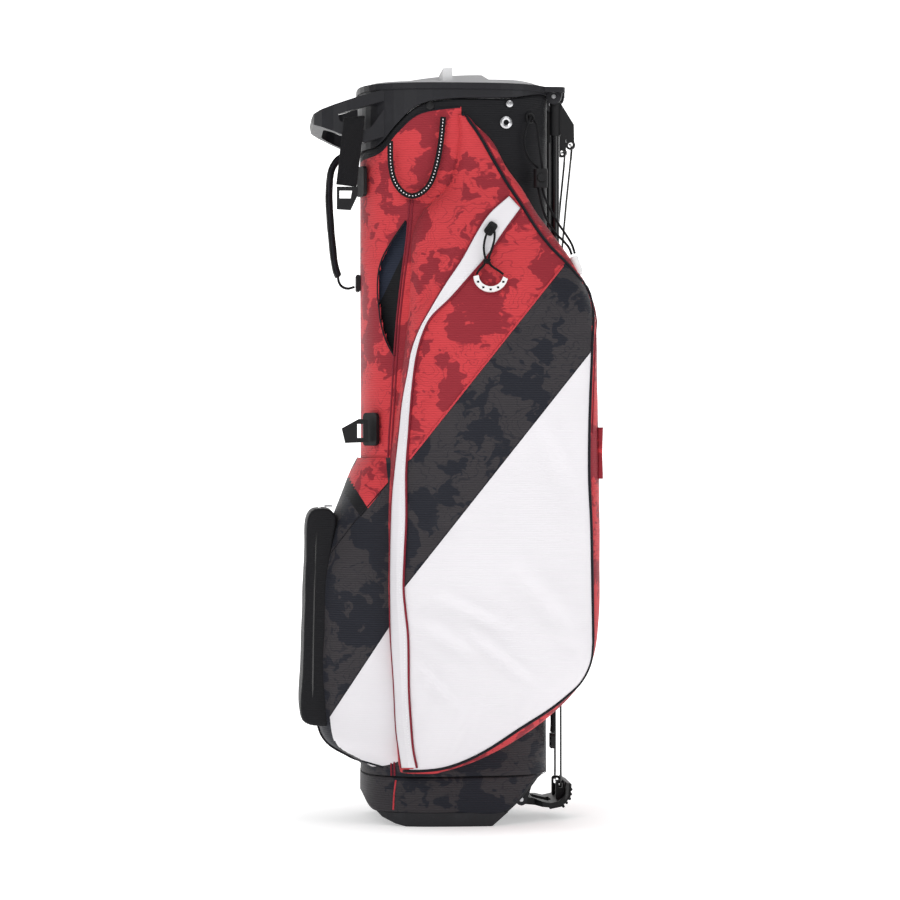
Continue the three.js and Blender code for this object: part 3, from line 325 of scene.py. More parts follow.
def grid_faces(rows, columns, closed=False):
    faces = []
    for r in range(rows - 1):
        for c in range(columns if closed else columns - 1):
            d = (c + 1) % columns
            faces.append((r * columns + c, r * columns + d, (r + 1) * columns + d, (r + 1) * columns + c))
    return faces


def caps(rows, columns):
    """The faces that close the first and the last ring."""
    return [tuple(range(columns))[::-1], tuple(range((rows - 1) * columns, rows * columns))]


def sweep(name, path, section, material, out=None):
    """A closed section swept along a path. out is the direction the section's first axis keeps to."""
    path = np.array(path, float)
    tangent = np.gradient(path, axis=0)
    tangent /= np.linalg.norm(tangent, axis=1)[:, None]
    verts = []
    side = None
    for i, (point, ahead) in enumerate(zip(path, tangent)):
        if out is not None:
            first = np.array(out[i] if np.ndim(out) == 2 else out, float)
        elif side is None:
            first = np.array([0, 0, 1.0]) if abs(ahead[2]) < 0.9 else np.array([0, 1.0, 0])
        else:
            first = side
        first = first - ahead * first.dot(ahead)
        first /= np.linalg.norm(first)
        side = first
        second = np.cross(ahead, first)
        verts += [point + first * a + second * b for a, b in section]
    count = len(section)
    faces = grid_faces(len(path), count, True) + caps(len(path), count)
    return make_mesh(name, verts, faces, material)


def circle(radius, sides=10):
    return [(radius * math.cos(2 * math.pi * i / sides), radius * math.sin(2 * math.pi * i / sides))
            for i in range(sides)]


def flat(thick, wide, corner=0.6):
    """Section of a strap: thick along the first axis, wide along the second."""
    t, w, c = thick / 2, wide / 2, min(corner, thick * 0.4)
    return [(-t, -w + c), (-t + c, -w), (t - c, -w), (t, -w + c), (t, -w / 2), (t, 0), (t, w / 2),
            (t, w - c), (t - c, w), (-t + c, w), (-t, w - c), (-t, w / 2), (-t, 0), (-t, -w / 2)]


def joined(name, objs):
    """One object out of several, keeping their materials."""
    bpy.ops.object.select_all(action="DESELECT")
    for o in objs:
        o.select_set(True)
    bpy.context.view_layer.objects.active = objs[0]
    if len(objs) > 1:
        bpy.ops.object.join()
    objs[0].name = name
    return objs[0]


def subdivided(obj, levels=1):
    modifier = obj.modifiers.new("subdivision", "SUBSURF")
    modifier.levels = levels
    modifier.render_levels = levels
    apply_modifier(obj, modifier)
    return obj


def apply_modifier(obj, modifier):
    bpy.context.view_layer.objects.active = obj
    with bpy.context.temp_override(object=obj, active_object=obj, selected_objects=[obj]):
        bpy.ops.object.modifier_apply(modifier=modifier.name)


def coordinates(obj):
    co = np.empty(len(obj.data.vertices) * 3)
    obj.data.vertices.foreach_get("co", co)
    return co.reshape(-1, 3)


def set_coordinates(obj, co):
    obj.data.vertices.foreach_set("co", np.asarray(co, float).reshape(-1))
    obj.data.update()


def surface_tree(obj):
    mesh = obj.data
    corners = [v.co.copy() for v in mesh.vertices]
    return BVHTree.FromPolygons(corners, [tuple(p.vertices) for p in mesh.polygons])


def seen(tree, x, z, y_guess, lift=0.0):
    """Where the camera's ray through (x, y_guess, z) meets a surface, in millimetres, lifted back along it.
    A point guessed on the far side is looked at straight along Y instead. A ray that passes the surface by
    gives the point of the outline it passes closest to."""
    start = CAMERA_AT if y_guess < 0 else Vector((x * MM, 1.0, z * MM))
    towards = (Vector((x, y_guess, z)) * MM - start).normalized()
    hit = tree.ray_cast(start, towards)[0]
    if hit is None:
        reach = (abs(y_guess) * MM - abs(start.y)) / -abs(towards.y)
        passed = [tree.find_nearest(start + towards * (reach + step * MM)) for step in range(0, 90, 6)]
        at, normal, _, _ = min(passed, key=lambda found: found[3])
        hit = at + normal * MM
    return np.array(hit / MM - towards * lift)


def on_surface(tree, points, y_guess, count, lift=0.0):
    """A smooth line of count points drawn through (x, z) points, laid on a surface as the camera sees it."""
    line = np.array([seen(tree, x, z, y_guess, lift) for x, z in smooth(points, count)])
    for _ in range(4):
        steady = line.copy()
        steady[3:-3] = sum(line[3 + k:len(line) - 3 + k] for k in range(-3, 4)) / 7
        jumps = np.linalg.norm(line - steady, axis=1) > 1.5
        line[jumps] = steady[jumps]
    return line


def piping(name, tree, points, y_guess, material, radius=1.5, count=90, lift=0.3):
    return sweep(name, on_surface(tree, points, y_guess, count, lift), circle(radius, 8), material)


def trim(*args):
    """A piping on the bag's own body."""
    settle(piping(*args))


def stitches(name, tree, points, y_guess, material, pitch=4.0, radius=0.35, lift=0.25):
    """A row of separate stitches along a line on a surface."""
    line = on_surface(tree, points, y_guess, 400, lift)
    along = run(line)
    at = lambda s: np.stack([np.interp(s, along, line[:, k]) for k in range(3)], axis=-1)
    verts, faces = [], []
    for start in np.arange(pitch / 2, along[-1] - pitch, pitch):
        a, m, b = at(np.array([start, start + pitch * 0.32, start + pitch * 0.64]))
        ahead = (b - a) / max(np.linalg.norm(b - a), 1e-6)
        side = np.cross(ahead, (0, -1, 0))
        out = np.cross(side, ahead)
        first = len(verts)
        for point, wide in ((a, 0.4), (m, 1.0), (b, 0.4)):
            verts += [point + (side * math.cos(t) + out * math.sin(t)) * radius * wide
                      for t in np.linspace(0, 2 * math.pi, 6, endpoint=False)]
        faces += [tuple(first + i for i in f) for f in grid_faces(3, 6, True)]
        faces += [tuple(range(first + 5, first - 1, -1)), tuple(range(first + 12, first + 18))]
    return make_mesh(name, verts, faces, material)


def inside(polygon, x, z):
    """Which of the points (x, z) lie inside a polygon."""
    px, pz = np.array(polygon, float).T
    qx, qz = np.roll(px, -1), np.roll(pz, -1)
    hit = np.zeros(len(x), bool)
    for ax, az, bx, bz in zip(px, pz, qx, qz):
        crosses = (az > z) != (bz > z)
        with np.errstate(divide="ignore", invalid="ignore"):
            hit ^= crosses & (x < (bx - ax) * (z - az) / (bz - az) + ax)
    return hit


def view_coordinates(co):
    """(x, z) in millimetres at which the camera sees each point, referred to the plane y = 0."""
    rays = co - np.array(CAMERA_AT)
    share = -CAMERA_AT.y / rays[:, 1]
    at = np.array(CAMERA_AT) + rays * share[:, None]
    return at[:, 0] / MM, at[:, 2] / MM


def referred(points, y_guess):
    """The same, for (x, z) points that lie on the plane y = y_guess."""
    co = np.array([(x, y_guess, z) for x, z in points], float) * MM
    x, z = view_coordinates(co)
    return list(zip(x, z))


def cut_along(obj, start, end, y_guess, reach=None):
    """Cuts a mesh's faces along the plane through the camera and a line, so that colours can meet there;
    a line on the far side is cut straight along Y.
    With a reach, in millimetres, only faces that near the line are cut."""
    a = Vector((start[0], y_guess, start[1])) * MM
    b = Vector((end[0], y_guess, end[1])) * MM
    eye = CAMERA_AT if y_guess < 0 else a + Vector((0, 1, 0))
    normal = (a - eye).cross(b - eye).normalized()
    edit = bmesh.new()
    edit.from_mesh(obj.data)
    faces = edit.faces[:]
    if reach:
        middle, far = (a + b) / 2, (b - a).length / 2 + reach * MM
        faces = [f for f in faces if (f.calc_center_median() - middle).length < far]
    corners = list(dict.fromkeys(v for f in faces for v in f.verts))
    edges = list(dict.fromkeys(e for f in faces for e in f.edges))
    bmesh.ops.bisect_plane(edit, geom=corners + edges + faces, dist=1e-6, plane_co=a, plane_no=normal)
    edit.to_mesh(obj.data)
    edit.free()


def cut_polygon(obj, polygon, y_guess, reach):
    for start, end in zip(polygon, polygon[1:] + polygon[:1]):
        cut_along(obj, start, end, y_guess, reach)


def face_centres(obj):
    centres = np.empty(len(obj.data.polygons) * 3)
    obj.data.polygons.foreach_get("center", centres)
    return centres.reshape(-1, 3)


def above_line(x, z, start, end):
    return (z - start[1]) * (end[0] - start[0]) - (end[1] - start[1]) * (x - start[0]) > 0


def puffed(obj, pinned, pressure, limit, frames=20, stiffness=18):
    """Blows a fabric piece out with Cloth, its pinned points held, and caps each point's move (mm)."""
    before = coordinates(obj)
    group = obj.vertex_groups.new(name="pinned")
    group.add([int(i) for i in np.flatnonzero(pinned)], 1.0, "REPLACE")
    cloth = obj.modifiers.new("cloth", "CLOTH")
    settings = cloth.settings
    settings.quality = 6
    settings.mass = 0.25
    settings.tension_stiffness = stiffness
    settings.compression_stiffness = stiffness
    settings.shear_stiffness = 8
    settings.bending_stiffness = 0.6
    settings.use_pressure = True
    settings.uniform_pressure_force = pressure
    settings.effector_weights.gravity = 0.0
    settings.vertex_group_mass = "pinned"
    cloth.collision_settings.use_collision = False
    scene = bpy.context.scene
    for number in range(1, frames + 1):
        scene.frame_set(number)
    shaped = obj.evaluated_get(bpy.context.evaluated_depsgraph_get())
    after = np.array([v.co for v in shaped.data.vertices])
    obj.modifiers.remove(cloth)
    scene.frame_set(1)
    move = after - before
    length = np.linalg.norm(move, axis=1)
    move *= np.minimum(1.0, limit * MM / np.maximum(length, 1e-9))[:, None]
    set_coordinates(obj, before + move)
    return obj


def rumpled(obj, amount, size, seed=0.0, stretch=(1.0, 1.0, 1.0)):
    """Moves each point along its normal by smooth noise, as loose cloth does. Sizes in millimetres."""
    co = coordinates(obj)
    normals = np.array([v.normal for v in obj.data.vertices])
    shift = np.array([noise.noise(Vector(c * stretch) / (size * MM) + Vector((seed, seed * 2, seed * 3)))
                      for c in co])
    set_coordinates(obj, co + normals * (shift * amount * MM)[:, None])
    return obj


# ------------------------------------------------------------------ cords, their lengths printed
SPINE_STRAND = [
    (.0830, -.0782, .8188), (.0846, -.0818, .8186), (.0840, -.0855, .8160), (.0810, -.0880, .8100),
    (.0775, -.0888, .8000), (.0760, -.0890, .7900), (.0775, -.0890, .7790), (.0820, -.0890, .7690),
    (.0880, -.0886, .7620), (.0922, -.0881, .7580), (.0926, -.0880, .7530), (.0926, -.0880, .7450),
    (.0926, -.0880, .7360), (.0944, -.0890, .7260), (.0980, -.0910, .7100), (.1040, -.0940, .6940),
    (.1120, -.0980, .6820), (.1205, -.1020, .6730), (.1266, -.1046, .6650), (.1294, -.1056, .6574),
]
LEG_STRAND = [
    (.0846, -.0789, .8154), (.0875, -.0824, .8140), (.0903, -.0854, .8100), (.0918, -.0872, .8030),
    (.0928, -.0880, .7920), (.0946, -.0884, .7780), (.0964, -.0882, .7670), (.0974, -.0880, .7570),
    (.0974, -.0880, .7460), (.0974, -.0880, .7360), (.1000, -.0890, .7250), (.1054, -.0910, .7120),
    (.1115, -.0940, .7000), (.1180, -.0974, .6890), (.1246, -.1010, .6786), (.1300, -.1040, .6686),
    (.1330, -.1056, .6586),
]
# One length of cord through the slider's eye and a knot, its two ends in the grip, as (x, z) in the
# pull's own plane.
PULL_LOOP = [
    (-17.2, -53.5), (-14.4, -48.6), (-10.4, -44.6), (-7.6, -40.5), (-6.8, -36.5), (-8.0, -30), (-8.6, -22),
    (-7.0, -12), (-3.6, -3.5), (0, 0.6), (3.4, -3.0), (3.6, -12), (1.2, -22), (-1.6, -30), (-3.2, -36.5),
    (-1.8, -41.5), (2.6, -45.6), (8.6, -49.6), (13.4, -53.4),
]
PULL_AT = (34.0, -136.586, 685.0)
PULL_LEAN = math.radians(8.031)


def in_pull(x, z, y=0.0):
    """A point of the zip pull's own frame, in the row frame, in millimetres."""
    return (PULL_AT[0] + x, PULL_AT[1] + z * math.sin(PULL_LEAN) + y * math.cos(PULL_LEAN),
            PULL_AT[2] + z * math.cos(PULL_LEAN) - y * math.sin(PULL_LEAN))


def cord_curve(name, points, radius, material, count=90):
    """A free cord as a curve of one open spline, its points in metres."""
    line = smooth(points, count)
    curve = bpy.data.curves.new(name, "CURVE")
    curve.dimensions = "3D"
    curve.bevel_depth = radius
    curve.bevel_resolution = 3
    curve.use_fill_caps = True
    spline = curve.splines.new("POLY")
    spline.points.add(len(line) - 1)
    for point, at in zip(spline.points, line):
        point.co = (*at, 1.0)
    spline.use_smooth = True
    curve.materials.append(material)
    obj = add_object(name, curve)
    return obj, float(np.linalg.norm(np.diff(line, axis=0), axis=1).sum())


CORD_RADIUS = 0.0014
spine_cord, spine_length = cord_curve("elastic_cord_spine", SPINE_STRAND, CORD_RADIUS, BRAID)
leg_cord, leg_length = cord_curve("elastic_cord_leg", LEG_STRAND, CORD_RADIUS, BRAID)
pull_cord, pull_length = cord_curve(
    "zip_pull_loop", [tuple(MM * c for c in in_pull(x, z)) for x, z in PULL_LOOP], 0.0013, BRAID)
print("cord lengths", round(spine_length, 4), round(leg_length, 4), round(pull_length, 4))
settle(spine_cord, ROOT, ["elastic_cord_spine_strand"])
settle(leg_cord, ROOT, ["elastic_cord_leg_strand"])
settle(pull_cord, "zip_pull", ["zip_pull_cord"])


# ------------------------------------------------------------------ club tube
def plan_point(angle, grow=0.0):
    c, s = math.cos(angle), math.sin(angle)
    return ((TUBE_X + grow) * math.copysign(abs(c) ** (2 / TUBE_POWER), c),
            (TUBE_Y + grow) * math.copysign(abs(s) ** (2 / TUBE_POWER), s))


def even_plan(count, grow=0.0):
    """Plan outline of the tube as count evenly spaced points, starting on the leg side."""
    dense = np.array([plan_point(a, grow) for a in np.linspace(0, 2 * math.pi, 1441)])
    along = run(dense)
    even = np.linspace(0, along[-1], count, endpoint=False)
    return np.stack([np.interp(even, along, dense[:, 0]), np.interp(even, along, dense[:, 1])], axis=1)


COLLAR_EDGE = smooth([(-139, 781), (-109, 781), (-91, 785), (-71, 808), (-47, 829), (-9, 837), (59, 839),
                      (99, 846), (139, 846)], 120)
BINDING = 9.5
FOOT_BAND = 128


def collar_edge(x):
    return np.interp(x, COLLAR_EDGE[:, 0], COLLAR_EDGE[:, 1])


def shell(name, outer, inner, material):
    """A closed skin from rings outside, bottom to top, and rings inside, top to bottom."""
    rings = outer + inner
    columns = len(rings[0])
    faces = grid_faces(len(rings), columns, True)
    last = (len(rings) - 1) * columns
    faces += [(last + c, last + (c + 1) % columns, (c + 1) % columns, c) for c in range(columns)]
    return make_mesh(name, np.concatenate(rings), faces, material)


def inside_tube(co, grow=0.0):
    """Which points (in metres) lie inside the tube's plan outline."""
    x, y = np.abs(co[:, 0]) / MM / (TUBE_X + grow), np.abs(co[:, 1]) / MM / (TUBE_Y + grow)
    return x ** TUBE_POWER + y ** TUBE_POWER < 1


def remove_faces(obj, doomed):
    edit = bmesh.new()
    edit.from_mesh(obj.data)
    edit.faces.ensure_lookup_table()
    bmesh.ops.delete(edit, geom=[edit.faces[int(i)] for i in np.flatnonzero(doomed)], context="FACES")
    edit.to_mesh(obj.data)
    edit.free()


def paint(obj, choice):
    obj.data.polygons.foreach_set("material_index", np.asarray(choice, int))
    obj.data.update()


SPINE_SEAM = [(-39, 819), (-54, 720), (-58, 674), (-64, 628), (-69, 582), (-72, 543), (-75, 490),
              (-78, 444), (-80, 399), (-81, 353), (-81, 261), (-80, 215), (-79, 169), (-77, 123), (-75, 59)]
WALL_Y = -92
SLIT_Y = -82
SLIT_EDGE = [(-59, 697), (-74, 675), (-85, 656), (-90, 640), (-91.5, 618), (-90, 597), (-87, 576),
             (-80, 555), (-72, 541)]
SLIT_SEAM = [(-72, 541), (-69, 582), (-64, 628), (-58, 680), (-56.5, 697)]


def tube_fabric():
    """The club tube's skin with its crescent mouth cut out. Returns the uncut skin, for rays to meet."""
    around, up, step = 220, 150, 2 * math.pi
    plan_out, plan_in = even_plan(around), even_plan(around, -2.4)
    top = collar_edge(plan_out[:, 0]) - 0.8
    shares = np.linspace(0, 1, up)
    wave = np.array([1.1 * math.sin(p * 9.0) for p in np.linspace(0, step, around)])
    outer = []
    for share in shares:
        z = BASE_TOP + 0.6 + (top - BINDING - BASE_TOP - 0.6) * share
        held = np.sin(np.pi * share) ** 0.6
        soft = 1 - 0.007 * held * (0.6 + 0.4 * wave)
        outer.append(np.column_stack([plan_out[:, 0] * soft, plan_out[:, 1] * soft, z]))
    for drop in (BINDING * 0.66, BINDING * 0.33, 0.0):
        outer.append(np.column_stack([plan_out, top - drop]))
    inner = [np.column_stack([ring[:, :2] + plan_in - plan_out, ring[:, 2]]) for ring in outer[::-1]]
    fabric = shell("tube_fabric", outer, inner, [RED, BLACK, DARK])
    rumpled(fabric, 1.0, 70, 3.1, (1.0, 1.0, 0.4))
    tree = surface_tree(fabric)
    mouth_edge = [tuple(p) for p in smooth(SLIT_EDGE, 22)] + SLIT_SEAM[1:-1]
    cut_polygon(fabric, mouth_edge, SLIT_Y, 4)
    centres = face_centres(fabric)
    x, z = view_coordinates(centres)
    mouth = inside(referred(mouth_edge, SLIT_Y), x, z) & (centres[:, 1] < -0.03)
    remove_faces(fabric, mouth)
    centres = face_centres(fabric) / MM
    banded = centres[:, 2] > collar_edge(centres[:, 0]) - 0.8 - BINDING
    choice = (banded | (centres[:, 0] > 2)).astype(int)
    choice[centres[:, 2] < FOOT_BAND] = 2
    paint(fabric, choice)
    settle(fabric, ROOT,
           ["tube_spine_panel", "tube_leg_panel", "tube_near_panel", "tube_far_panel"])
    return tree


tube_tree = tube_fabric()


def slit_pocket():
    """The pouch behind the crescent mouth: navy lining above, black below."""
    columns, rows = 26, 40
    verts = []
    for v in np.linspace(0, 1, rows):
        for u in np.linspace(0, 1, columns):
            x, z = -97 + 46 * u, 534 + 170 * v
            face = -TUBE_Y * (1 - abs(x / TUBE_X) ** TUBE_POWER) ** (1 / TUBE_POWER)
            deep = 3.4 + 11 * (1 - abs(2 * u - 1) ** 3) * (1 - abs(2 * v - 1) ** 4)
            verts.append((x, face + deep + 1.2 * math.sin(7 * v + 3 * u), z))
    pouch = make_mesh("slit_pocket_lining", verts, grid_faces(rows, columns), [NAVY, BLACK])
    cut_along(pouch, (-60, 664), (-88, 606), -70)
    (ax, az), (bx, bz) = referred([(-60, 664), (-88, 606)], -70)
    x, z = view_coordinates(face_centres(pouch))
    paint(pouch, (~above_line(x, z, (bx, bz), (ax, az))).astype(int))
    settle(pouch, ROOT, ["slit_pocket_pouch"])
    edge = [(x - 1.2, z) for x, z in SLIT_EDGE]
    trim("slit_pocket_piping", tube_tree, edge, SLIT_Y, DARK_TRIM, 1.0, 60, 0.2)


slit_pocket()

for number, shift in enumerate((-2.0, 1.6)):
    seam = [(x + shift, z) for x, z in SPINE_SEAM if z < 815]
    trim(f"spine_seam_{number}", tube_tree, seam, WALL_Y, MAROON_TRIM, 1.15, 160, 0.0)
for side, start, y_guess in (("near", -104, WALL_Y), ("far", -100, -WALL_Y)):
    edge = [(x, collar_edge(x) - BINDING - 1) for x in np.linspace(start, 2, 22)]
    trim(f"collar_binding_{side}", tube_tree, edge, y_guess, DARK_TRIM, 1.1, 80, 0.0)


# ------------------------------------------------------------------ side pockets
# Height, spine edge, leg edge, percent of the full depth.
POCKET_ROWS = [
    (63, -68, -20, 32), (73, -70, 14, 48), (89, -72, 48, 62), (107, -73, 78, 74), (131, -74, 109, 84),
    (153, -75, 132, 90), (175, -77, 148, 95), (203, -79, 158, 98), (240, -81, 162, 100), (400, -79, 162, 100),
    (500, -68, 160, 100), (590, -58, 157, 95), (620, -57, 147, 84), (650, -56, 131, 73), (680, -54, 110, 62),
    (705, -44, 91, 52), (734, -18, 74, 36), (760, -8, 56, 24), (790, -4, 40, 15), (818, -2, 8, 8),
]
# Lines on the near pocket as (x, z), read where the surface lies at PANEL_Y.
PANEL_Y = -147
FLAP_Y = -130
PANEL_PIPING = [
    (0, 817), (20, 789), (36, 761), (52, 734), (68, 710), (86, 682), (102, 662), (118, 646), (132, 630),
    (143, 615), (149, 590), (148, 549), (146, 490), (145, 453), (145, 399), (147, 354), (148, 310),
    (149, 240), (149, 213), (147, 195), (142, 181), (133, 167), (117, 152), (99, 138), (66, 117), (32, 95),
    (9, 83), (-9, 76), (-25, 72), (-48, 70), (-66, 70),
]
FLAP_LEFT = [
    (55, 722), (33, 702), (20, 683), (1, 649), (-17, 622), (-35, 592), (-47, 570), (-56, 545), (-60, 522),
    (-66, 490), (-70, 453), (-75, 408), (-78, 376), (-80, 310), (-80, 263), (-79, 217), (-76, 172),
    (-73, 115), (-70, 92), (-67, 72),
]
FLAP_RIGHT = [
    (68, 708), (47, 679), (33, 658), (10, 631), (-12, 606), (-35, 583), (-44, 565), (-51, 540), (-55, 513),
    (-58, 481), (-60, 453), (-63, 410), (-63, 353), (-65, 310), (-66, 274), (-64, 251), (-61, 222),
    (-60, 160), (-58, 126), (-55, 92), (-51, 72),
]
RED_LINE = ((-59, 423), (115, 642))
WHITE_LINE = ((-66, 277), (146, 544))
SPINE_POWER = 3.3
LEG_POWER = 4.4


def pocket_shell(name, depth, side, material):
    """Side pocket: a rounded front over a flat back, open where it meets the tube."""
    front, back, dense = 84, 22, 400
    angles = np.linspace(0, math.pi, dense)
    c, s = np.cos(angles), np.abs(np.sin(angles))
    rings = []
    for z, left, right, share in smooth(POCKET_ROWS, 196):
        middle, half = (left + right) / 2, (right - left) / 2
        out = TUBE_Y + depth * share / 100 - POCKET_INNER_Y
        power = np.where(c > 0, SPINE_POWER, LEG_POWER)
        x = middle - half * np.sign(c) * np.abs(c) ** (2 / power)
        y = POCKET_INNER_Y + out * s ** (2 / power)
        along = np.concatenate([[0], np.cumsum(np.hypot(np.diff(x), np.diff(y)))])
        even = np.linspace(0, along[-1], front)
        x, y = np.interp(even, along, x), np.interp(even, along, y)
        returning = np.linspace(x[-1], x[0], back + 2)[1:-1]
        x = np.concatenate([x, returning])
        y = np.concatenate([y, np.full(back, float(POCKET_INNER_Y))])
        rings.append(np.column_stack([x, side * y, np.full(len(x), z)]))
    count = front + back
    faces = grid_faces(len(rings), count, True) + caps(len(rings), count)
    if side > 0:
        faces = [f[::-1] for f in faces]
    pocket = make_mesh(name, np.concatenate(rings), faces, material)
    remove_faces(pocket, inside_tube(face_centres(pocket), -2.0))
    return pocket


def near_lines(x, z, lines, within):
    """Which points (x, z) lie within a distance of any of the lines."""
    found = np.zeros(len(x), bool)
    for line in lines:
        dense = smooth(line, 260)
        for start in range(0, len(x), 4000):
            part = slice(start, start + 4000)
            gap = np.hypot(x[part, None] - dense[None, :, 0], z[part, None] - dense[None, :, 1])
            found[part] |= gap.min(axis=1) < within
    return found


def creased(obj, creases, x, z):
    """Presses long soft folds into a surface; each crease is start, end, width and depth in millimetres."""
    co = coordinates(obj)
    normals = np.array([v.normal for v in obj.data.vertices])
    total = np.zeros(len(co))
    for start, end, width, depth in creases:
        a, b = np.array(start, float), np.array(end, float)
        ahead = (b - a) / np.linalg.norm(b - a)
        rel = np.column_stack([x, z]) - a
        t = rel @ ahead / np.linalg.norm(b - a)
        off = rel @ np.array([-ahead[1], ahead[0]])
        fade = np.clip(1 - (2 * t - 1) ** 2, 0, None)
        hollow = np.exp(-(off / width) ** 2)
        ridge = np.exp(-((off - 1.9 * width) / width) ** 2)
        total += depth * fade * (hollow - 0.7 * ridge)
    set_coordinates(obj, co - normals * (total * MM)[:, None])


FAR_SPINE_EDGE = [(-74, 115), (-80, 217), (-79, 376), (-64, 500), (-52, 600), (-50, 690)]


def painted_pocket(pocket, side):
    """Colours the pocket by panel: red above, dark band, white below, red gusset outside the piping."""
    centres = face_centres(pocket)
    if side < 0:
        x, z = view_coordinates(centres)
        panel = inside(referred(PANEL_PIPING, PANEL_Y) + referred(FLAP_RIGHT[::-1], FLAP_Y), x, z)
        red, white = referred(RED_LINE, PANEL_Y), referred(WHITE_LINE, PANEL_Y)
    else:
        x, z = centres[:, 0] / MM, centres[:, 2] / MM
        panel = inside(PANEL_PIPING + FAR_SPINE_EDGE, x, z)
        red, white = RED_LINE, WHITE_LINE
    outward = np.array([p.normal.y for p in pocket.data.polygons]) * side
    panel &= (side * centres[:, 1] > (POCKET_INNER_Y + 6) * MM) & (outward > 0.22)
    choice = np.zeros(len(centres), int)
    choice[panel & ~above_line(x, z, *red)] = 1
    choice[panel & ~above_line(x, z, *white)] = 2
    paint(pocket, choice)


# Start, end, width and depth of each fold in the near pocket's cloth.
CREASES = [
    ((10, 222), (96, 150), 6, 3.4), ((-52, 232), (30, 182), 8, 2.6), ((-56, 190), (6, 120), 6, 3.0),
    ((-40, 330), (20, 352), 9, 1.8), ((60, 300), (140, 210), 11, 2.4), ((-30, 262), (70, 214), 7, 2.2),
    ((-50, 470), (-20, 520), 7, 1.8), ((70, 560), (120, 610), 9, 1.4), ((96, 470), (132, 380), 9, 1.6),
    ((-30, 690), (-34, 560), 9, 2.6), ((0, 760), (-22, 640), 10, 1.6),
]
FAR_AWAY = 1e4


def near_pocket():
    pocket = pocket_shell("near_pocket_fabric", NEAR_DEPTH, -1, [RED, DARK, WHITE])
    co = coordinates(pocket)
    x, z = view_coordinates(co)
    seams = [referred(PANEL_PIPING, PANEL_Y), referred(FLAP_LEFT, FLAP_Y), referred(FLAP_RIGHT, FLAP_Y)]
    pinned = near_lines(x, z, seams, 4.5) | inside_tube(co, 5.0) | (co[:, 1] > -70 * MM)
    puffed(pocket, pinned, 2.2, 5.0)
    free = ~near_lines(x, z, seams, 9)
    creased(pocket, CREASES, *np.where(free, (x, z), FAR_AWAY))
    rumpled(pocket, 0.9, 55, 7.7)
    cut_along(pocket, *RED_LINE, PANEL_Y)
    cut_along(pocket, *WHITE_LINE, PANEL_Y)
    painted_pocket(pocket, -1)
    return settle(pocket, ROOT, ["near_pocket"])


near_tree = surface_tree(near_pocket())


def far_pocket():
    pocket = pocket_shell("far_pocket_fabric", FAR_DEPTH, 1, [RED, DARK, WHITE])
    rumpled(pocket, 1.6, 60, 1.3)
    cut_along(pocket, *RED_LINE, -PANEL_Y)
    cut_along(pocket, *WHITE_LINE, -PANEL_Y)
    painted_pocket(pocket, 1)
    return settle(pocket, ROOT, ["far_pocket"])


far_tree = surface_tree(far_pocket())

GUSSET_WELT = [(x + 3.4, z - 1) for x, z in PANEL_PIPING[:14]]
RED_SEAM = [RED_LINE[0], (28, 532.5), RED_LINE[1]]
WHITE_SEAM = [WHITE_LINE[0], (40, 410.5), WHITE_LINE[1]]
trim("near_pocket_piping", near_tree, PANEL_PIPING, PANEL_Y, DARK_TRIM, 1.8, 420, 0.6)
trim("near_pocket_gusset_welt", near_tree, GUSSET_WELT, PANEL_Y, MAROON_TRIM, 0.9, 160, 0.2)
trim("near_red_line", near_tree, RED_SEAM, PANEL_Y, RED_TRIM, 1.2, 120, 0.2)
trim("near_white_line", near_tree, WHITE_SEAM, PANEL_Y, DARK_TRIM, 0.5, 120, 0.0)
trim("far_pocket_piping", far_tree, PANEL_PIPING, -PANEL_Y, DARK_TRIM, 1.6, 300, 0.6)
trim("far_red_line", far_tree, RED_SEAM, -PANEL_Y, RED_TRIM, 1.2, 120, 0.2)


def zip_flap():
    """White strip over the long zip: a thin skin on the pocket, with a hem and a lengthwise fold."""
    stations, across = 260, 13
    left = smooth(FLAP_LEFT, stations)
    right = smooth(FLAP_RIGHT, stations)
    verts = []
    for a, b in zip(left, right):
        low = np.clip((430 - a[1]) / 200, 0, 1)
        for u in np.linspace(0, 1, across):
            x, z = a + (b - a) * u
            fold = 1.4 * low * math.exp(-((u - 0.52) / 0.09) ** 2)
            hem = 0.8 * math.exp(-(u / 0.12) ** 2)
            lift = 1.5 + fold + hem + 0.6 * math.sin(math.pi * u)
            verts.append(seen(near_tree, x, z, FLAP_Y, lift))
    flap = make_mesh("zip_flap_fabric", verts, grid_faces(stations, across), WHITE)
    thick = flap.modifiers.new("thickness", "SOLIDIFY")
    thick.thickness = 1.1 * MM
    thick.offset = 0.0
    apply_modifier(flap, thick)
    return settle(flap, ROOT, ["zip_flap"])


flap_tree = surface_tree(zip_flap())
FLAP_LEG_EDGE = [(x + 0.8, z) for x, z in FLAP_RIGHT]
FLAP_SPINE_EDGE = [(x - 0.6, z) for x, z in FLAP_LEFT]
FLAP_STITCHING = [(x - 3.4, z) for x, z in FLAP_RIGHT[1:-1]]
trim("zip_flap_piping_leg", near_tree, FLAP_LEG_EDGE, FLAP_Y, MAROON_TRIM, 1.35, 300, 1.6)
trim("zip_flap_piping_spine", near_tree, FLAP_SPINE_EDGE, FLAP_Y, MAROON_TRIM, 1.3, 300, 1.2)
settle(stitches("zip_flap_stitches", flap_tree, FLAP_STITCHING, FLAP_Y, THREAD, 3.6, 0.3))


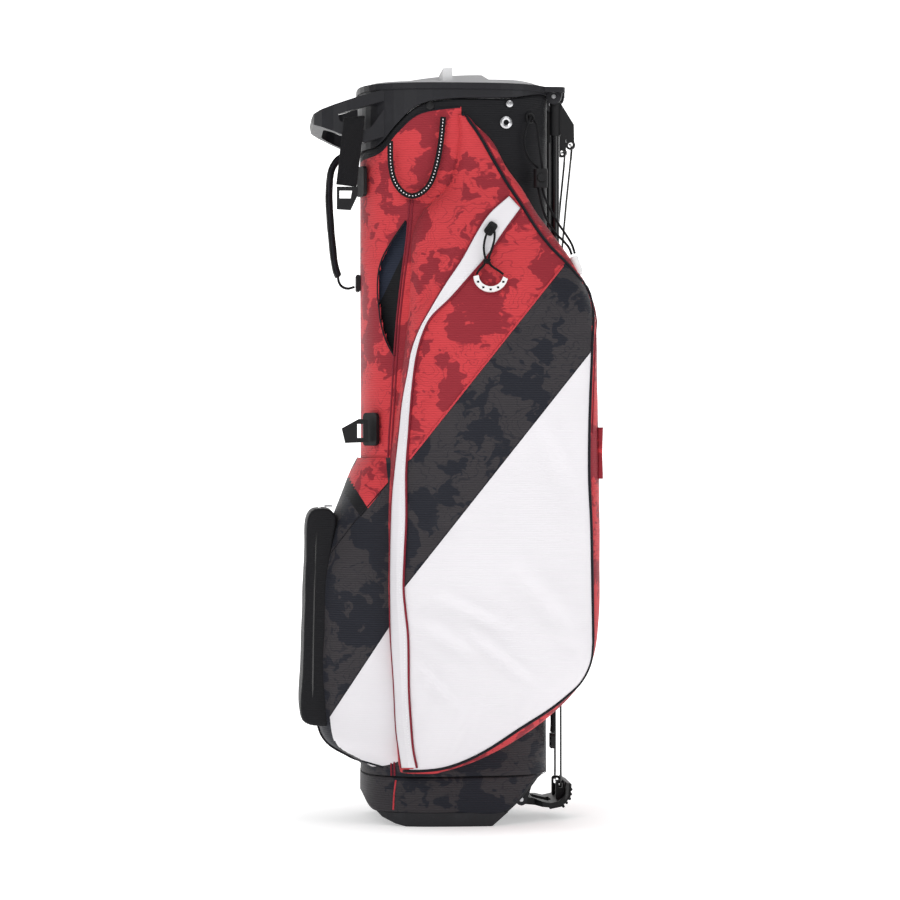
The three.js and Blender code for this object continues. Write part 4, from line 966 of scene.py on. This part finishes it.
def gusset_sleeve():
    """Fabric sleeve for small things on the leg-side gusset: a flattened tube, bound at its mouth."""
    lo, hi = box_mm("gusset_sleeve")
    lo[0], hi[0] = lo[0] - 3.0, hi[0] - 3.4
    around = 48
    middle, half = (lo + hi) / 2, (hi - lo) / 2

    def ring(z, shrink):
        turn = np.linspace(0, 2 * math.pi, around, endpoint=False)
        c, s = np.cos(turn), np.sin(turn)
        x = middle[0] + (half[0] - shrink) * np.sign(c) * np.sqrt(np.abs(c))
        y = middle[1] + (half[1] - shrink) * np.sign(s) * np.sqrt(np.abs(s))
        return np.column_stack([x, y, np.full(around, z)])

    heights = np.linspace(lo[2], hi[2], 24)
    sag = lambda z: 0.7 * math.sin(math.pi * (z - lo[2]) / (hi[2] - lo[2])) ** 2
    outer = [ring(z, 0.1 + sag(z)) for z in heights]
    inner = [ring(z, 1.2 + sag(z)) for z in heights[::-1]]
    sleeve = shell("gusset_sleeve_fabric", outer, inner, RED)
    settle(sleeve, ROOT, ["gusset_sleeve"])
    rim = ring(hi[2] - 1.0, 0.3)
    settle(sweep("gusset_sleeve_binding", np.vstack([rim, rim[:1]]), circle(0.8, 6), MAROON_TRIM))


gusset_sleeve()


# ------------------------------------------------------------------ ball pocket and accessory pocket
# Height, reach past the tube, half width.
BALL_ROWS = [(62, -6, 78), (75, 14, 86), (92, 42, 91), (115, 51, 92), (200, 54, 93), (290, 50, 93),
             (335, 38, 92), (372, 26, 91), (404, 13, 89), (424, 3, 84)]
BALL_ROOT = -47
BALL_POWER = 2.8
BALL_Y = -90
BALL_LINE = ((-162, 106), (-80, 230))
BALL_SEAM = [(-81, 395), (-118, 352), (-157, 301)]
BALL_RED = [(-114, 427), (-122, 412), (-128, 404), (-104, 366), (-81, 395), (-84, 430)]
BALL_BAND = [(-128, 404), (-137, 392), (-112, 356), (-104, 366)]


def ball_pocket():
    count, dense = 150, 600
    angles = np.linspace(0, math.pi, dense)
    c, s = np.cos(angles), np.sin(angles)
    rings = []
    for z, out, half in smooth(BALL_ROWS, 120):
        x = BALL_ROOT - (TUBE_X + out + BALL_ROOT) * np.abs(s) ** (2 / BALL_POWER)
        y = -half * np.sign(c) * np.abs(c) ** (2 / BALL_POWER)
        along = np.concatenate([[0], np.cumsum(np.hypot(np.diff(x), np.diff(y)))])
        even = np.linspace(0, along[-1], count)
        x, y = np.interp(even, along, x), np.interp(even, along, y)
        rings.append(np.column_stack([x, y, np.full(count, z)]))
    faces = [f[::-1] for f in grid_faces(len(rings), count) + caps(len(rings), count)]
    pocket = make_mesh("ball_pocket_fabric", np.concatenate(rings), faces, [DARK, WHITE, RED, BLACK])
    remove_faces(pocket, inside_tube(face_centres(pocket), -2.0))
    co = coordinates(pocket)
    x, z = view_coordinates(co)
    pinned = inside_tube(co, 4.0) | near_lines(x, z, [referred(BALL_SEAM, BALL_Y)], 4)
    pinned |= (co[:, 2] < 70 * MM) | (np.abs(co[:, 1]) < 60 * MM) & (co[:, 0] < -150 * MM)
    puffed(pocket, pinned, 1.8, 4.0)
    rumpled(pocket, 1.8, 50, 4.4)
    cut_along(pocket, *BALL_LINE, BALL_Y)
    cut_polygon(pocket, BALL_RED, BALL_Y, 6)
    cut_polygon(pocket, BALL_BAND, BALL_Y, 6)
    centres = face_centres(pocket)
    near_x, near_z = view_coordinates(centres)
    near_side = centres[:, 1] < 0
    x = np.where(near_side, near_x, centres[:, 0] / MM)
    z = np.where(near_side, near_z, centres[:, 2] / MM)
    choice = np.zeros(len(centres), int)
    for polygon, number in ((BALL_RED, 2), (BALL_BAND, 3)):
        choice[inside(referred(polygon, BALL_Y), x, z)] = number
    choice[~above_line(x, z, *referred(BALL_LINE, BALL_Y)) & (centres[:, 0] < -60 * MM)] = 1
    choice[(np.abs(centres[:, 1]) < 60 * MM) & (choice == 1)] = 0
    paint(pocket, choice)
    return settle(pocket, ROOT, ["ball_pocket"])


ball_tree = surface_tree(ball_pocket())
BALL_FOOT = [(-164, 150), (-165, 125), (-161, 106), (-152, 93), (-136, 84), (-113, 77), (-90, 70),
             (-80, 67)]
BALL_SIDE = [(-156, 301), (-160, 260), (-163, 215), (-164, 170), (-164, 140)]
BALL_WHITE_EDGE = [BALL_LINE[0], (-121, 168), BALL_LINE[1]]
trim("ball_pocket_foot_piping", ball_tree, BALL_FOOT, BALL_Y, DARK_TRIM, 1.5, 90, 0.4)
for number, shift in enumerate((-1.8, 1.8)):
    seam = [(x + shift, z + shift) for x, z in BALL_SEAM]
    settle(stitches(f"ball_pocket_seam_{number}", ball_tree, seam, BALL_Y, BRAID, 3.4, 0.45))
trim("ball_pocket_corner_seam", ball_tree, BALL_SEAM, BALL_Y, DARK_TRIM, 0.7, 60, -0.2)
trim("ball_pocket_white_seam", ball_tree, BALL_WHITE_EDGE, BALL_Y, DARK_TRIM, 0.6, 80, 0.0)
trim("ball_pocket_side_seam", ball_tree, BALL_SIDE, BALL_Y, DARK_TRIM, 1.2, 60, 0.2)


# Side outline of the accessory pocket as (x, z), all the way round.
ACCESSORY_OUTLINE = [
    (-139, 357), (-147, 364.5), (-158, 365.5), (-166, 363.5), (-171.5, 355), (-174, 300), (-176, 240),
    (-178, 180), (-179.5, 130), (-177, 119), (-170, 114.5), (-160, 113), (-150, 114), (-148, 180),
    (-148, 240), (-146, 300), (-139, 350), (-139, 357),
]


def accessory_pocket():
    """Padded black pocket on the front of the ball pocket, rounded at its ends, with a zip round its edge."""
    outline = smooth(ACCESSORY_OUTLINE, 120)[:-1]
    centre = outline.mean(axis=0)
    across = 44
    rings = []
    for t in np.linspace(-1, 1, across):
        shrink = 1 - 0.20 * abs(t) ** 12
        flat_end = 1 - 0.035 * abs(t) ** 12
        crown = 1.4 * math.cos(t * math.pi / 2)
        x = centre[0] + (outline[:, 0] - centre[0]) * shrink - crown * (outline[:, 0] < centre[0])
        z = centre[1] + (outline[:, 1] - centre[1]) * flat_end
        rings.append(np.column_stack([x, np.full(len(x), 54.5 * math.sin(t * math.pi / 2)), z]))
    count = len(outline)
    faces = [f[::-1] for f in grid_faces(across, count, True) + caps(across, count)]
    pocket = make_mesh("accessory_pocket_fabric", np.concatenate(rings), faces, BLACK)
    co = coordinates(pocket)
    puffed(pocket, (co[:, 0] > -0.163) | (np.abs(co[:, 1]) > 0.05), 1.6, 3.0)
    rumpled(pocket, 1.1, 38, 9.1)
    settle(pocket, ROOT, ["accessory_pocket"])
    for side in (-1, 1):
        line = smooth([(-167, side * 52.8, 122), (-166, side * 53.6, 180), (-165, side * 53.6, 240),
                       (-163.5, side * 53.4, 300), (-161.5, side * 52.0, 348), (-159, side * 46.0, 361),
                       (-158, side * 34.0, 364.5), (-158, side * 12.0, 365.0), (-158, 0.0, 365.0)], 150)
        settle(sweep(f"accessory_zip_{'near' if side < 0 else 'far'}", line, circle(1.5, 8), LACQUER))
        edge = smooth([(-175.5, side * 51.6, 122), (-174.5, side * 52.4, 180), (-172.5, side * 52.4, 240),
                       (-170.5, side * 52.2, 300), (-168, side * 51.0, 350)], 80)
        settle(sweep(f"accessory_edge_{'near' if side < 0 else 'far'}", edge, circle(1.1, 8), DARK_TRIM))


accessory_pocket()


# ------------------------------------------------------------------ base cuff
CUFF_FOOT = [(-109, 33), (-97, 17), (-75, 16), (0, 16), (53, 16), (71, 31), (93, 54), (109, 55.5)]
CUFF_TOP = 56.4


def base_cuff():
    """Fabric band over the foot of the tube; its lower edge follows the moulded base."""
    around, foot = 260, smooth(CUFF_FOOT, 160)
    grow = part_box("base_cuff")[1].y / MM - TUBE_Y
    out, skin = even_plan(around, grow - 0.2), even_plan(around, grow - 1.4)
    low = np.interp(out[:, 0], foot[:, 0], foot[:, 1]) + 0.4
    level = lambda plan, t: np.column_stack([plan, low + (CUFF_TOP - low) * t])
    outer = [level(out, t) for t in np.linspace(0, 1, 12)]
    inner = [level(skin, t) for t in (1.0, 0.5, 0.0)]
    cuff = shell("base_cuff_fabric", outer, inner, [DARK])
    rumpled(cuff, 0.5, 40, 2.2)
    settle(cuff, ROOT, ["base_cuff"])
    tree = surface_tree(cuff)
    for side, y_guess in (("near", WALL_Y), ("far", -WALL_Y)):
        trim(f"cuff_seam_{side}", tree, [(-72, 54), (-74, 38), (-75, 20)], y_guess, RED_TRIM, 1.0, 30, 0.1)


base_cuff()


# ------------------------------------------------------------------ webbing, straps and handle
def strap(name, path, across, thick, wide, material, count=80):
    """A flat strap along a path whose width lies along the direction across."""
    line = smooth(path, count)
    ahead = np.gradient(line, axis=0)
    out = np.cross(np.broadcast_to(np.array(across, float), line.shape), ahead)
    return sweep(name, line, flat(thick, wide), material, out)


LOOP = [(-79, 787), (-78, 757), (-73, 739), (-64, 728), (-54, 724), (-43, 728), (-33, 739), (-26, 759),
        (-21, 785), (-18, 815)]


def webbing_loop():
    lo, hi = box_mm("webbing_loop")
    y = (lo[1] + hi[1]) / 2
    line = smooth([(x, y, z) for x, z in LOOP], 240)
    loop = sweep("webbing_loop_band", line, flat(2.0, 6.6), WEBBING, (0, -1, 0))
    settle(loop, ROOT, ["webbing_loop"])
    face = line - np.array([0, 1.12, 0])
    dashes = []
    for number in range(4, 236, 5):
        dash = face[number:number + 3]
        dashes.append(sweep(f"dash_{number}", dash, flat(0.4, 1.1, 0.15), THREAD, (0, -1, 0)))
    settle(joined("webbing_loop_stitches", dashes))


webbing_loop()


def upper_strap():
    path = [(-82.2, 737), (-82.2, 780), (-82.2, 812), (-79, 815.6), (-65, 815.6), (-62.4, 812),
            (-62.6, 790), (-70, 770), (-79.6, 757)]
    line = [(-119 + 0.12 * (z - 816.6), y, z) for y, z in path]
    band = strap("upper_strap_webbing", line, (1, 0, 0.12), 2.0, 23.6, WEBBING, 120)
    settle(band, ROOT, ["upper_strap"])


upper_strap()


def lower_strap():
    lo, hi = box_mm("lower_strap")
    middle, wide = (lo + hi) / 2, hi - lo
    line = [(middle[0] + 0.5 * math.sin(t * math.pi), middle[1], lo[2] + 0.3 + (wide[2] - 0.6) * t)
            for t in np.linspace(0, 1, 12)]
    band = strap("lower_strap_webbing", line, (0, 1, 0), wide[0] - 0.8, wide[1] - 0.4, WEBBING, 30)
    settle(band, ROOT, ["lower_strap"])


HANDLE = [(-114.2, 775), (-131, 777), (-142, 765), (-146, 735), (-144, 695), (-139, 650), (-135, 636)]
TIE = [(-135.5, 641), (-134.5, 631), (-131, 625.5), (-124, 623), (-116, 625)]


def grab_handle():
    """Padded handle: a flat tube of fabric blown out by its foam, with a bound edge each side."""
    line = smooth([(x, 0, z) for x, z in HANDLE], 90)
    pad = strap("grab_handle_pad", line, (0, 1, 0), 8.0, 25.0, PAD, 90)
    remesh = pad.modifiers.new("even", "REMESH")
    remesh.mode = "VOXEL"
    remesh.voxel_size = 3.0 * MM
    apply_modifier(pad, remesh)
    co = coordinates(pad)
    puffed(pad, (np.abs(co[:, 1]) > 0.0112) | (co[:, 0] > -0.120) | (co[:, 2] < 0.642), 4.0, 2.2)
    subdivided(pad, 1)
    rumpled(pad, 0.4, 16, 5.5)
    settle(pad, ROOT, ["grab_handle"])
    for side, y in (("near", -12.6), ("far", 12.6)):
        edge = line[2:-1] + np.array([0, y, 0])
        settle(sweep(f"grab_handle_binding_{side}", edge, circle(1.5, 8), DARK_TRIM))
    tie = strap("grab_handle_tie_webbing", [(x, 0, z) for x, z in TIE], (0, 1, 0), 2.6, 9.6, WEBBING, 30)
    settle(tie, ROOT, ["grab_handle_tie"])


lower_strap()
grab_handle()


# ------------------------------------------------------------------ dividers, mouth to base
DIVIDER_LENGTH = 773.6
DIVIDER_FOOT = 57.4


def divider(name, spans, fixed, along_x):
    """Upright cloth between the tube's walls; spans are its widths, in millimetres."""
    verts, faces = [], []
    rows = 60
    for lo, hi in spans:
        columns = max(4, int((hi - lo) / 8))
        first = len(verts)
        for v in np.linspace(0, 1, rows):
            for u in np.linspace(0, 1, columns):
                across = lo + (hi - lo) * u
                sway = 2.4 * math.sin(math.pi * v) * math.sin(math.pi * u) * math.sin(5 * v + 4 * u + fixed)
                point = (across, fixed + sway) if along_x else (fixed + sway, across)
                verts.append((*point, DIVIDER_FOOT + (DIVIDER_LENGTH - 1) * v))
        faces += [tuple(first + i for i in f) for f in grid_faces(rows, columns)]
    return make_mesh(name, verts, faces, BLACK)


long_divider = divider("long_divider", [(-87, -12.6), (-11.4, 87)], 0.0, True)
cross_divider = divider("cross_divider", [(-72, -0.6), (0.6, 72)], -12.0, False)
settle(long_divider, ROOT, ["divider_sheets"])
settle(cross_divider, ROOT, ["divider_sheets"])


def pull_details():
    for number, (height, lean) in enumerate(((-37.2, 0.5), (-39.6, -0.6))):
        turn = [in_pull(-5.0 + 3.3 * math.cos(t), height + lean * math.cos(t), 2.6 * math.sin(t))
                for t in np.linspace(0, 2 * math.pi, 28)]
        settle(sweep(f"zip_pull_knot_{number}", turn, circle(1.25, 8), BRAID), "zip_pull")
    grip_tree = surface_tree(nodes["zip_grip"])
    lo, hi = box_mm("zip_grip")
    middle, radius = (lo[0] + hi[0]) / 2, (hi[0] - lo[0]) / 2 - 3.2
    marks = []
    for number, turn in enumerate((208, 239, 270, 301, 332)):
        x = middle + radius * math.cos(math.radians(turn))
        z = lo[2] + radius + 3.2 + radius * math.sin(math.radians(turn))
        spot = seen(grip_tree, x, z, (lo[1] + hi[1]) / 2, 0.1)
        line = [spot + np.array([step, 0, 0]) for step in (-1.3, 0.0, 1.3)]
        marks.append(sweep(f"grip_mark_{number}", line, flat(0.6, 2.2, 0.2), DARK_TRIM, (0, -1, 0)))
    settle(joined("zip_grip_marks", marks), "zip_pull")


pull_details()


# ------------------------------------------------------------------ finishes of the kept CAD pieces
SLOT_FINISH = {
    "black_plastic": SMALL_PLASTIC, "grey_plastic": GREY, "rubber": RUBBER, "black_metal": LACQUER,
    "steel": STEEL, "white_fabric": WHITE_PLASTIC,
}
NODE_FINISH = {"top_collar": PLASTIC, "base_moulding": PLASTIC, "zip_grip": WHITE_PLASTIC}
for part in frame["record"]["subparts"]:
    node = nodes[part["node"]]
    if node.hide_render:
        continue
    node.data.materials.clear()
    finish = NODE_FINISH.get(part["node"]) or SLOT_FINISH[part["material_slot"]]
    node.data.materials.append(finish)


# ------------------------------------------------------------------ floor, light and world
def flat_plane(name, centre, along, up, material):
    centre, along, up = Vector(centre), Vector(along), Vector(up)
    mesh = bpy.data.meshes.new(name)
    corners = [centre + along * a + up * b for a, b in ((-1, -1), (1, -1), (1, 1), (-1, 1))]
    mesh.from_pydata(corners, [], [(0, 1, 2, 3)])
    mesh.materials.append(material)
    obj = add_object(name, mesh)
    return obj


def backdrop_finish(name, albedo, glow):
    shader = Shader(name)
    shader.bsdf.inputs["Base Color"].default_value = rgba(albedo, albedo, albedo)
    return shader.set(Roughness=1.0, Specular_IOR_Level=0.0, Emission_Color=rgba(1, 1, 1),
                      Emission_Strength=glow)


def floor_finish():
    """White sweep that burns out to plain white away from the bag; its glow drops close to the bag, which
    paints a soft shadow there.
    """
    shader = Shader("white floor")
    shader.bsdf.inputs["Base Color"].default_value = rgba(0.8, 0.8, 0.8)
    away = shader.node("ShaderNodeVectorMath", {0: shader.coordinates}, operation="LENGTH").outputs["Value"]
    # Glow is lowest round the bag: a painted shadow on the floor.
    glow = shader.node("ShaderNodeMapRange", {
        "Value": away, "From Min": 0.10, "From Max": 0.55, "To Min": 0.42, "To Max": 1.0,
    }).outputs["Result"]
    shader.tree.links.new(glow, shader.bsdf.inputs["Emission Strength"])
    return shader.set(Roughness=1.0, Specular_IOR_Level=0.0, Emission_Color=rgba(1, 1, 1))


def area_light(name, at, aim, size, power, tint=(1, 1, 1)):
    light = bpy.data.lights.new(name, "AREA")
    light.shape = "RECTANGLE"
    light.size, light.size_y = size
    light.energy = power
    light.color = tint
    obj = add_object(name, light)
    obj.location = at
    obj.rotation_euler = (Vector(aim) - Vector(at)).to_track_quat("-Z", "Y").to_euler()


WORLD_LEVEL = 0.26
flat_plane("floor", (0, 0, 0), (14, 0, 0), (0, 14, 0), floor_finish())
flat_plane("backdrop", (0, 12, 0), (20, 0, 0), (0, 0, 20), backdrop_finish("white backdrop", 0.6, 1.0))
area_light("key", (-1.5, -3.2, 2.8), (0, 0, 0.5), (1.8, 1.8), 42)
area_light("fill", (2.6, -2.6, 1.6), (0, 0, 0.4), (2.0, 2.4), 17)
area_light("top", (0.2, -0.4, 3.0), (0, 0, 0.4), (1.6, 1.6), 10)

world = bpy.data.worlds.new("studio")
bpy.context.scene.world = world
world.use_nodes = True
world.node_tree.nodes["Background"].inputs["Color"].default_value = (1, 1, 1, 1)
world.node_tree.nodes["Background"].inputs["Strength"].default_value = WORLD_LEVEL
bpy.context.scene.view_settings.view_transform = "Standard"
